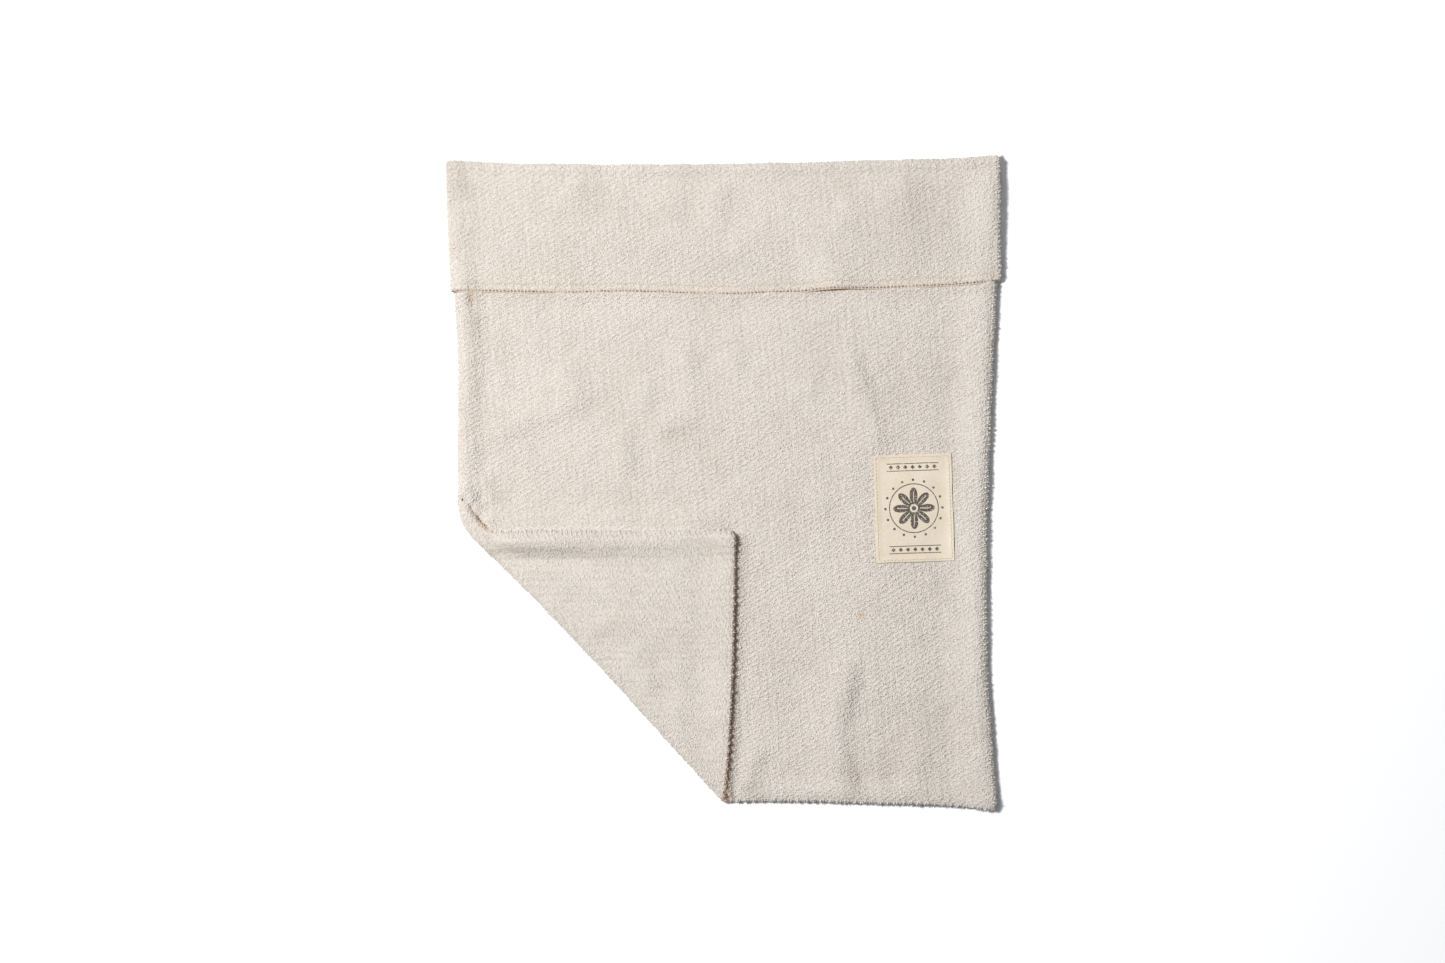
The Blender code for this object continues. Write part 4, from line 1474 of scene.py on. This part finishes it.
    def seats(
        self, surface: Surface, p: Numbers, q: Numbers, turn: Numbers, out: Numbers
    ) -> tuple[Numbers, ...]:
        """Places on the outside of the folded cloth, with a loop's three ways at each.

        Args:
            surface: The middle surface as a function of two numbers.
            p: The first of them.
            q: The second.
            turn: The way of each loop, as an angle from p's way to q's.
            out: A rough way out of the cloth.

        Returns:
            Folded places in metres, the ways along, across and up, and the same places on the flat pouch.
        """
        shape = self.shape
        near = 0.05
        middle = surface(p, q)
        by_p, by_q = unit(surface(p + near, q) - middle), unit(surface(p, q + near) - middle)
        normal = unit(np.cross(by_p, by_q))
        normal = normal * np.sign((normal * out).sum(axis=-1, keepdims=True))
        skin = middle + normal * shape.outside_rise(middle, normal)[:, None]
        along = unit(np.cos(turn)[:, None] * by_p + np.sin(turn)[:, None] * by_q)
        across = unit(np.cross(normal, along))
        places = shape.fold(skin)
        along = unit(shape.fold(skin + near * along) - places)
        across = shape.fold(skin + near * across) - places
        up = unit(np.cross(along, across))
        return places, along, np.cross(up, along), up, middle

    def piece(
        self,
        name: str,
        seats: tuple[Numbers, ...],
        front: Numbers,
        material: Material,
        waviness: float | None = None,
    ) -> Piece:
        """Makes one loop at each seat.

        Args:
            name: The piece's name.
            seats: What seats() gives.
            front: Whether each loop is on the front layer.
            material: The loops' finish.
            waviness: How much the twill shows in their height, if not as usual.

        Returns:
            The piece.
        """
        above = seats[0][:, 2] - MM * self.root > 0
        places, along, across, up, flat = (part[above] for part in seats)
        front = front[above]
        count = len(places)
        draw = np.random.default_rng(self.seed + count)
        u = np.where(front, flat[:, 0], self.shape.back_start - flat[:, 0])
        wave = self.knit.twill(u, flat[:, 1])
        length = self.half_length * draw.uniform(*self.length_range, count)
        width = self.half_width * draw.uniform(*self.width_range, count)
        gone = (self.growth_way[0] * places[:, 0] + self.growth_way[1] * places[:, 1]) / MM
        growth = 1 + self.growth * ease(gone, *self.growth_span)
        waved = (0.9 + (self.waviness if waviness is None else waviness) * wave).clip(0.1)
        crown = self.crown * growth * waved * draw.uniform(*self.crown_range, count)
        lean = draw.uniform(-self.lean, self.lean, count)
        tilt = draw.uniform(-self.tilt, self.tilt, count)
        low = np.full(count, -self.end_sink)
        corners = (
            (length, 0 * length, low + tilt),
            (0 * width, width, low),
            (-length, 0 * length, low - tilt),
            (0 * width, -width, low),
            (lean * length, 0 * length, crown),
            (0 * length, 0 * length, np.full(count, -self.root)),
        )
        ways = (along, across, up)
        moves = [sum(part[:, None] * way for part, way in zip(corner, ways)) for corner in corners]
        points = np.stack([places + MM * move for move in moves], axis=1)
        points[..., 2] = points[..., 2].clip(0.0)
        tips, roots = (4, 4, 4, 4), (5, 5, 5, 5)
        ring = np.array([[0, 1, 2, 3], [1, 2, 3, 0]])
        shell = np.concatenate([np.stack([ring[0], ring[1], tips], 1), np.stack([ring[1], ring[0], roots], 1)])
        faces = Faces.of((shell + 6 * np.arange(count)[:, None, None]).reshape(-1, 3))
        mesh = make_mesh(name, points.reshape(-1, 3), faces)
        loop = faces.loops // 6
        add_map(mesh, "Cloth", np.stack([u[loop], flat[loop, 1]], axis=1))
        cells = ceil(count**0.5)
        turn = pi / 2 * np.arange(4)
        spread = np.concatenate([np.stack([np.cos(turn), np.sin(turn)], axis=1), np.zeros((2, 2))])
        half = np.where(np.arange(8) < 4, 0.25, 0.75)
        cell_at = np.stack([half[:, None] + 0.22 * spread[shell, 0], 0.5 + 0.44 * spread[shell, 1]], axis=-1)
        cell = np.stack([np.arange(count) % cells, np.arange(count) // cells], axis=1)
        add_map(mesh, "OFBake", ((cell[:, None, None] + cell_at) / cells).reshape(-1, 2))
        self.shape.shade(mesh, front, flat[:, 0], flat[:, 1], 6)
        return add_piece(name, mesh, material)

    def on_layer(self, name: str, side: float, x: Numbers, v: Numbers, draw: Draw, material: Material) -> Piece:
        """Makes the loops of a part of a layer, whose ways are more or less those of the rows.

        Args:
            name: The piece's name.
            side: 1 for the front layer, -1 for the back one.
            x: Places across.
            v: Places along.
            draw: Where the random ways come from.
            material: The loops' finish.

        Returns:
            The piece.
        """
        ways = self.row_share * np.arctan2(self.row[1], self.row[0]) + draw.normal(0.0, self.row_spread, len(x))
        seats = self.seats(partial(self.face, side), x, v, ways, np.array([0.0, 0.0, side]))
        return self.piece(name, seats, np.full(len(x), side > 0), material)

    def flat_parts(self, draw: Draw, covered: Surface) -> Iterator[tuple[str, float, Numbers, Numbers]]:
        """Places of the loops that lie flat: on the front in two parts, on the cuff and on the turned corner.

        Args:
            draw: Where the random moves come from.
            covered: Whether the label lies on a place of the front.

        Returns:
            Each part's name, its side, and its places on the flat pouch.
        """
        shape, half = self.shape, self.field
        x, v = self.lattice((-half, shape.bottom), (half, shape.cuff_edge + self.under_cuff), draw).T
        beside = np.maximum(x - shape.corner_covers[0], v - shape.corner_covers[1])
        shows = self.inside_edges(x, v) & (beside > -self.under_flap) & ~covered(x, v)
        shows = shows & (shape.past_corner(x, v) < self.clear_fold)
        for name, part in (("loops_upper_front", v > self.split), ("loops_lower_front", v <= self.split)):
            yield name, 1.0, x[shows & part], v[shows & part]
        deep = shape.outer_turn + shape.mouth - shape.cuff_fold - shape.half_turn
        x, gone = self.lattice((-half, 0.0), (half, deep), draw).T
        v = shape.cuff_fold + self.stretched(gone)
        shows = self.inside_edges(x, v)
        yield "loops_cuff", -1.0, x[shows], v[shows]
        spots = self.lattice(self.corner_low, self.corner_high, draw)
        way, along = np.array(shape.corner_way), np.array(shape.corner_along)
        gone = spots @ way - shape.corner_fold
        spots = (spots @ along)[:, None] * along + (shape.corner_fold + self.stretched(gone))[:, None] * way
        x, v = spots.T
        shows = (gone > 0) & self.inside_edges(x, v)
        yield "loops_corner", -1.0, x[shows], v[shows]

    def edge_seats(self, draw: Draw) -> tuple[tuple[Numbers, ...], Numbers]:
        """Seats of the loops round the two side edges and the bottom seam, in rows round the edge.

        Args:
            draw: Where the random moves come from.

        Returns:
            The seats, and whether each is on the front layer.
        """
        shape, stray, most = self.shape, self.stray, self.most_turn
        turns = (np.arange(self.edge_rows) + 0.5) / self.edge_rows * pi - pi / 2
        groups = []
        for hand in (-1, 1):
            q = np.arange(shape.bottom + self.edge_ends[0], shape.mouth - self.edge_ends[1], self.edge_pitch)
            p, q = (part.ravel() for part in np.meshgrid(turns, q))
            q = q + self.edge_pitch * 0.5 * (np.arange(len(q)) % 2) + draw.uniform(-stray, stray, len(q))
            p = (p + draw.uniform(-self.turn_stray, self.turn_stray, len(p))).clip(-most, most)
            out = np.stack([hand * np.cos(p), 0 * p, np.sin(p)], axis=1)
            ways = draw.uniform(0.0, pi, len(p))
            groups.append((self.seats(partial(self.side_edge, hand), p, q, ways, out), p > 0))
        p, q = (part.ravel() for part in np.meshgrid(np.arange(*self.seam_span, self.edge_pitch), turns))
        p = p + draw.uniform(-stray, stray, len(p))
        q = (q + draw.uniform(-self.turn_stray, self.turn_stray, len(q))).clip(-most, most)
        out = np.stack([0 * q, -np.cos(q), np.sin(q)], axis=1)
        groups.append((self.seats(self.low_edge, p, q, draw.uniform(0.0, pi, len(p)), out), q > 0))
        seats = tuple(np.concatenate(parts) for parts in zip(*[group[0] for group in groups]))
        return seats, np.concatenate([group[1] for group in groups])

    def build(self, material: Material, covered: Surface) -> list[Piece]:
        """Makes the loops of the front, the cuff, the turned corner and the edges.

        Args:
            material: The loops' finish.
            covered: Whether the label lies on a place of the front.

        Returns:
            The pieces.
        """
        draw = np.random.default_rng(self.seed)
        made = []
        for name, side, x, v in self.flat_parts(draw, covered):
            made.append(self.on_layer(name, side, x, v, draw, material))
        made.append(self.piece("loops_edges", *self.edge_seats(draw), material, self.edge_waviness))
        return made


@dataclass(frozen=True)
class MouthOverlock:
    """The overlock along the mouth's edge: a thread that zigzags over it, and a line of needle stitches."""

    shape: PouchShape
    name: str = "mouth_overlock"
    pitch: float = 2.0
    depth: float = 4.4
    radius: float = 0.24
    stand_off: float = 0.12
    leg_sink: float = 0.6
    margin: float = 3.0
    start_stray: float = 0.15
    depth_stray: float = 0.35
    end_sink: float = 0.5
    # Share of the depth along a round, in stretches: from, to, points
    swing: Table = ((1.0, 0.22, 5), (0.1, -0.3, 4), (-0.45, -1.0, 4))
    chain_reach: float = 0.5
    chain_swing: float = 0.18
    chain_stray: float = 0.1
    chain_rise: float = -0.12
    chain_radius: float = 0.34
    needle_length: float = 1.3
    needle_rise: float = 0.65
    needle_stray: float = 0.3
    needle_rise_stray: Pair = (-0.5, 0.15)
    needle_arch: float = 12.0
    # How far out the second point lies that gives a thread its way out of the cloth
    probe: float = 0.5
    seed: int = 11

    def on_edge(self, side: int, x: Numbers, reach: Numbers, rise: float) -> Numbers:
        """Points on the cloth near the mouth, laid flat: reach runs up one face, over the edge, down the other.

        Args:
            side: 1 for the front layer, -1 for the back one.
            x: Places across.
            reach: Distance from the middle of the rim: positive on the outside, negative on the inside.
            rise: Distance off the cloth.

        Returns:
            x, v and height.
        """
        shape = self.shape
        half = shape.cloth / 2
        arc = half * pi / 2
        angle = np.clip(reach / half, -pi / 2, pi / 2)
        v = shape.mouth - half - np.maximum(np.abs(reach) - arc, 0.0) + (half + rise) * np.cos(angle)
        middle = shape.layer_height(np.full_like(x, side), x, v, np.ones_like(x))
        return np.stack([x, v, middle + side * (half + rise) * np.sin(angle)], axis=-1)

    @cached_property
    def starts(self) -> Numbers:
        """x at which each round of the thread starts, one in a row."""
        shape = self.shape
        low = float(shape.left(np.array(shape.mouth))) + self.margin
        high = float(shape.right(np.array(shape.mouth))) - self.margin
        return np.arange(low, high - self.pitch, self.pitch)[:, None]

    def laid(self, side: int, x: Numbers, reach: Numbers, rise: Numbers | float) -> tuple[Numbers, Numbers]:
        """Lays threads on the folded bag.

        Args:
            side: 1 for the front layer, -1 for the back one.
            x: Places across.
            reach: Distance from the middle of the rim, as on_edge() takes it.
            rise: Distance off the cloth.

        Returns:
            The paths, and their vectors out of the cloth.
        """
        near, far = (self.shape.fold(self.on_edge(side, x, reach, up)) for up in (rise, rise + self.probe))
        return near, far - near

    def chain(self, material: Material) -> Piece:
        """Makes the chain that the loops leave along the rim: its reach swings by a cosine in each round.

        Args:
            material: The chain's finish.

        Returns:
            The piece.
        """
        draw = np.random.default_rng(self.seed + 1)
        t = np.linspace(-0.1, 1.1, 9)
        threads = []
        for side in (1, -1):
            stray = draw.uniform(-self.chain_stray, self.chain_stray, self.starts.shape)
            reach = self.chain_reach + self.chain_swing * np.cos(2 * pi * t) + stray
            threads.append(self.laid(side, self.starts + self.pitch * t, reach, self.chain_rise))
        return sew("mouth_chain", threads, self.chain_radius, 6, material)

    def build(self, material: Material) -> Piece:
        """Makes the overlock: each round goes over the rim, has a needle stitch, and comes back.

        Args:
            material: The thread's finish.

        Returns:
            The piece.
        """
        draw = np.random.default_rng(self.seed)
        t = np.linspace(0.0, 1.0, 13)
        swing = np.concatenate([np.linspace(*span) for span in self.swing])
        legs = ease(np.abs(swing), 0.2, 0.5)
        sink = self.stand_off * (1 - legs) - self.leg_sink * legs - self.end_sink * ((t < 0.01) | (t > 0.99))
        threads = []
        for side in (1, -1):
            starts = self.starts + draw.uniform(-self.start_stray, self.start_stray, self.starts.shape)
            depth = self.depth + draw.uniform(-self.depth_stray, self.depth_stray, starts.shape)
            reach = swing * (depth + self.shape.cloth * pi / 4)
            stray = draw.uniform(-self.needle_stray, self.needle_stray, starts.shape)
            rise = self.needle_rise + draw.uniform(*self.needle_rise_stray, starts.shape)
            rise = rise - self.needle_arch * (t - 0.5) ** 4
            out, back = self.pitch * (0.15 + 0.85 * t), self.pitch * (1.15 - 0.9 * t)
            threads.append(self.laid(side, starts + out, reach, sink))
            reach_in = self.shape.needle_in + stray + 0 * t
            threads.append(self.laid(side, starts + self.needle_length * t, reach_in, rise))
            threads.append(self.laid(side, starts + back, -reach, sink))
        return sew(self.name, threads, self.radius, 5, material)


@dataclass(frozen=True)
class Label:
    """The label: a hemmed patch on the front, its running stitches and its print."""

    shape: PouchShape
    name: str = "label_patch"
    width: float = 43.5
    height: float = 60.0
    thick: float = 0.38
    hem: float = 2.7
    # Rise of the hem's second layer, and how far past its edge it ends, from and to
    hem_rise: float = 0.24
    hem_end: Pair = (-0.5, 0.4)
    # Puckers and groove along the stitches, rise and width of each, and the drop at the rim, with its reach
    pucker: Pair = (0.07, 0.8)
    groove: Pair = (-0.10, 0.45)
    rim_drop: Pair = (-0.22, 0.5)
    at: Pair = (106.2, -14.9)
    turn: float = radians(1.9)
    lift: float = 0.30
    # The low bulge: rise, where it grows from and to, its even and its uneven share
    bulge: float = 0.35
    bulge_span: Pair = (2, 14)
    bulge_shares: Pair = (0.7, 0.3)
    # How far its edges wander, and over what lengths
    wander: float = 0.22
    wander_span: Pair = (9, 40)
    step: float = 0.8
    # Stations near an edge, up to where the even ones start
    near_edge: Sizes = (0, 0.08, 0.25, 0.5, 0.9)
    stitch_in: float = 1.35
    stitch_pitch: float = 2.0
    stitch_length: float = 1.35
    stitch_radius: float = 0.17
    # How far the stitches stray along, aside and askew, and their height over the face: rise, dip at the ends
    stitch_stray: Sizes = (0.12, 0.10, 0.2)
    stitch_arch: Pair = (0.13, 1.6)

    def place(self, a: Numbers, b: Numbers, rise: Numbers) -> Numbers:
        """Takes places on the label to the bag.

        Args:
            a: Places across the label, from its middle.
            b: Places along it.
            rise: Height above the front's cloth.

        Returns:
            Points, in metres.
        """
        shape = self.shape
        x = self.at[0] + a * cos(self.turn) - b * sin(self.turn)
        y = self.at[1] + a * sin(self.turn) + b * cos(self.turn)
        z = shape.front_top(x, y) + rise
        return np.stack([x - shape.middle[0], y - shape.middle[1], z], axis=-1) * MM

    def inset(self, a: Numbers, b: Numbers) -> Numbers:
        """Distance in from the nearest edge."""
        return np.minimum(self.width / 2 - np.abs(a), self.height / 2 - np.abs(b))

    def covers(self, x: Numbers, y: Numbers) -> Numbers:
        """Finds the places of the front that the label lies on.

        Args:
            x: Places across.
            y: Places along.

        Returns:
            Whether it lies on each.
        """
        away_x, away_y = x - self.at[0], y - self.at[1]
        a = away_x * cos(self.turn) + away_y * sin(self.turn)
        b = away_y * cos(self.turn) - away_x * sin(self.turn)
        return self.inset(a, b) > -0.25

    def top(self, a: Numbers, b: Numbers) -> Numbers:
        """Rise of the label's face: its thickness, the hem, puckers at the stitches and a low bulge.

        Args:
            a: Places across.
            b: Places along.

        Returns:
            Height above the front's cloth.
        """
        inset = self.inset(a, b)
        hem = self.hem_rise * (1 - ease(inset - self.hem, *self.hem_end))
        along = np.where(self.width / 2 - np.abs(a) < self.height / 2 - np.abs(b), b, a)
        aside = inset - self.stitch_in
        pucker = self.pucker[0] * np.cos(2 * pi * along / self.stitch_pitch) * bell(aside, self.pucker[1])
        groove = self.groove[0] * bell(aside, self.groove[1])
        even, uneven = self.bulge_shares
        swell = self.bulge * ease(inset, *self.bulge_span) * (even + uneven * ripple(a, b, 3, 14.0, 30.0))
        drop, reach = self.rim_drop
        round_edge = drop * (1 - np.sqrt(1 - (1 - np.clip(inset / reach, 0, 1)) ** 2))
        return self.lift + self.thick + hem + pucker + groove + swell + round_edge

    def outline(self, a: Numbers, b: Numbers) -> tuple[Numbers, Numbers]:
        """Lets the edges wander by a fifth of a millimetre, the most at the rim."""
        share_a, share_b = (2 * np.abs(a) / self.width) ** 6, (2 * np.abs(b) / self.height) ** 6
        a_out = self.wander * share_a * ripple(b, a, 5, *self.wander_span)
        return a + a_out, b + self.wander * share_b * ripple(a, b, 6, *self.wander_span)

    def stations(self, span: float) -> Numbers:
        """Steps a span, closer at its ends.

        Args:
            span: Its length.

        Returns:
            Places from its middle.
        """
        near = np.array(self.near_edge)
        half = span / 2 - near[-1]
        inner = np.linspace(-half, half, round(2 * half / self.step) + 1)[1:-1]
        return np.concatenate([-span / 2 + near, inner, span / 2 - near[::-1]])

    def build(self, material: Material) -> Piece:
        """Makes the patch: a face and an underside on one grid, joined round the rim.

        Args:
            material: The label's finish.

        Returns:
            The piece.
        """
        a, b = np.meshgrid(self.stations(self.width), self.stations(self.height))
        moved_a, moved_b = self.outline(a, b)
        face = self.place(moved_a, moved_b, self.top(a, b))
        under = self.place(moved_a, moved_b, np.full_like(a, self.lift - 0.02))
        count = a.size
        at = np.arange(count).reshape(a.shape)
        ring = np.concatenate([at[0, :-1], at[:-1, -1], at[-1, :0:-1], at[:0:-1, 0]])
        round_it = np.concatenate([ring, ring[:1]])
        rim = quads(np.stack([round_it, round_it + count]))[:, ::-1]
        faces = Faces.of(quads(at), quads(at + count)[:, ::-1], rim)
        mesh = make_mesh(self.name, np.concatenate([face.reshape(-1, 3), under.reshape(-1, 3)]), faces)
        flat = np.tile(np.stack([a.ravel(), b.ravel()], axis=1), (2, 1))[faces.loops]
        below = (np.arange(len(faces.sizes)) >= (a.shape[0] - 1) * (a.shape[1] - 1))[faces.owner]
        add_map(mesh, "Cloth", flat)
        share = np.stack([flat[:, 0] / self.width + 0.5, flat[:, 1] / self.height + 0.5], axis=1)
        low = np.array([0.005, 0.005]) + share * np.array([0.70, 0.985])
        high = np.array([0.72, 0.005]) + share * np.array([0.27, 0.39])
        add_map(mesh, "OFBake", np.where(below[:, None], high, low))
        piece = add_piece(self.name, mesh, material)
        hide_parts("label")
        return piece

    def stitches(self, material: Material) -> Piece:
        """Makes the running stitches: short threads round the label, each an arch that dips at both ends.

        Args:
            material: The thread's finish.

        Returns:
            The piece.
        """
        draw = np.random.default_rng(23)
        half_a, half_b = self.width / 2 - self.stitch_in, self.height / 2 - self.stitch_in
        corners = np.array([[-half_a, -half_b], [half_a, -half_b], [half_a, half_b], [-half_a, half_b]])
        stray, aside, askew = self.stitch_stray
        threads = []
        for start, end in zip(corners, np.roll(corners, -1, axis=0)):
            span = np.linalg.norm(end - start)
            count = round(span / self.stitch_pitch)
            way = (end - start) / span
            middle = (np.arange(count) + 0.5) * span / count
            middle = middle + draw.uniform(-stray, stray, count)
            t = np.linspace(-0.5, 0.5, 7)
            along = middle[:, None] + t * self.stitch_length
            side = draw.uniform(-aside, aside, (count, 1)) + draw.uniform(-askew, askew, (count, 1)) * t
            a = start[0] + way[0] * along - way[1] * side
            b = start[1] + way[1] * along + way[0] * side
            rise = self.top(a, b) + self.stitch_arch[0] - self.stitch_arch[1] * np.abs(t) ** 3
            near = self.place(a, b, rise)
            threads.append((near, np.broadcast_to(np.array([0.0, 0.0, MM]), near.shape)))
        return sew("label_stitches", threads, self.stitch_radius, 6, material)


class Tone(Enum):
    """Plain colours of the studio, as linear shares of white."""

    FLOOR = (0.97, 0.97, 0.97)
    SKY = (0.90, 0.97, 1.05)


@dataclass(frozen=True)
class Studio:
    """A white table seen from straight above, a soft light from the upper left and weak ones round it."""

    picture: tuple[int, int] = (1445, 963)
    pixel: float = 0.5576
    camera_height: float = 2.6
    sensor: float = 36.0
    looks_at: Pair = (-0.00053, 0.00044)
    key_from: Sizes = (-1.006, 0.351, 1.825)
    key_size: float = 0.40
    key_power: float = 58.9
    top_from: Sizes = (0.10, 1.20, 1.02)
    top_size: float = 0.8
    top_power: float = 3.6
    sky: float = 0.135

    def camera(self) -> None:
        """Puts the camera above the bag, as far off as its long lens needs for the photograph's frame."""
        data = bpy.data.cameras.new("camera")
        data.sensor_width = self.sensor
        data.lens = self.sensor * (self.camera_height - 0.006) / (self.picture[0] * self.pixel * MM)
        data.clip_start, data.clip_end = 0.1, 20.0
        camera = add_object("camera", data)
        camera.location = (*self.looks_at, self.camera_height)
        bpy.context.scene.camera = camera

    def floor(self) -> None:
        """Lays the white table."""
        nodes = Nodes("white_table")
        nodes.finish(Tone.FLOOR.value, 0.9)
        side = np.array([-3.0, 3.0])
        x, y = np.meshgrid(side, side)
        points = np.stack([x.ravel(), y.ravel(), np.full(4, -0.00005)], axis=1)
        mesh = make_mesh("table", points, Faces.of(np.array([[0, 1, 3, 2]])))
        mesh.materials.append(nodes.material)
        add_object("table", mesh)

    def lights(self) -> None:
        """Hangs the square soft light, and sets the even light of the room."""
        for name, place, size, power in (
            ("key", self.key_from, self.key_size, self.key_power),
            ("top", self.top_from, self.top_size, self.top_power),
        ):
            data = bpy.data.lights.new(name, "AREA")
            data.shape, data.size, data.energy = "SQUARE", size, power
            light = add_object(name, data)
            light.location = place
            light.rotation_mode = "QUATERNION"
            light.rotation_quaternion = (-Vector(place)).to_track_quat("-Z", "Y")
        world = bpy.data.worlds.new("studio")
        bpy.context.scene.world = world
        world.use_nodes = True
        background = world.node_tree.nodes["Background"]
        background.inputs["Color"].default_value = (*Tone.SKY.value, 1.0)
        background.inputs["Strength"].default_value = self.sky
        bpy.context.scene.view_settings.view_transform = "Standard"

    def build(self) -> None:
        """Sets up the whole studio."""
        self.camera()
        self.floor()
        self.lights()
        LOG.info("studio: ready")


def main() -> None:
    """Builds the pouch, its overlock and its label, and the studio round them."""
    logging.basicConfig(level=logging.INFO, format="%(name)s %(message)s")
    shape = PouchShape()
    Studio().build()
    knit = TerryKnit()
    pouch = PouchCloth(shape).build(knit.material())
    edge_thread = CottonThread("edge_thread", (0.67, 0.58, 0.48)).material()
    overlock = MouthOverlock(shape).build(edge_thread)
    chain = MouthOverlock(shape).chain(CottonThread("chain_thread", (0.62, 0.50, 0.38)).material())
    label = Label(shape)
    loops = TerryLoops(shape, knit).build(knit.loop_material(), label.covers)
    patch = label.build(PrintedWeave().material())
    stitches = label.stitches(CottonThread("label_thread", (0.66, 0.50, 0.34)).material())


if __name__ == "__main__":
    main()
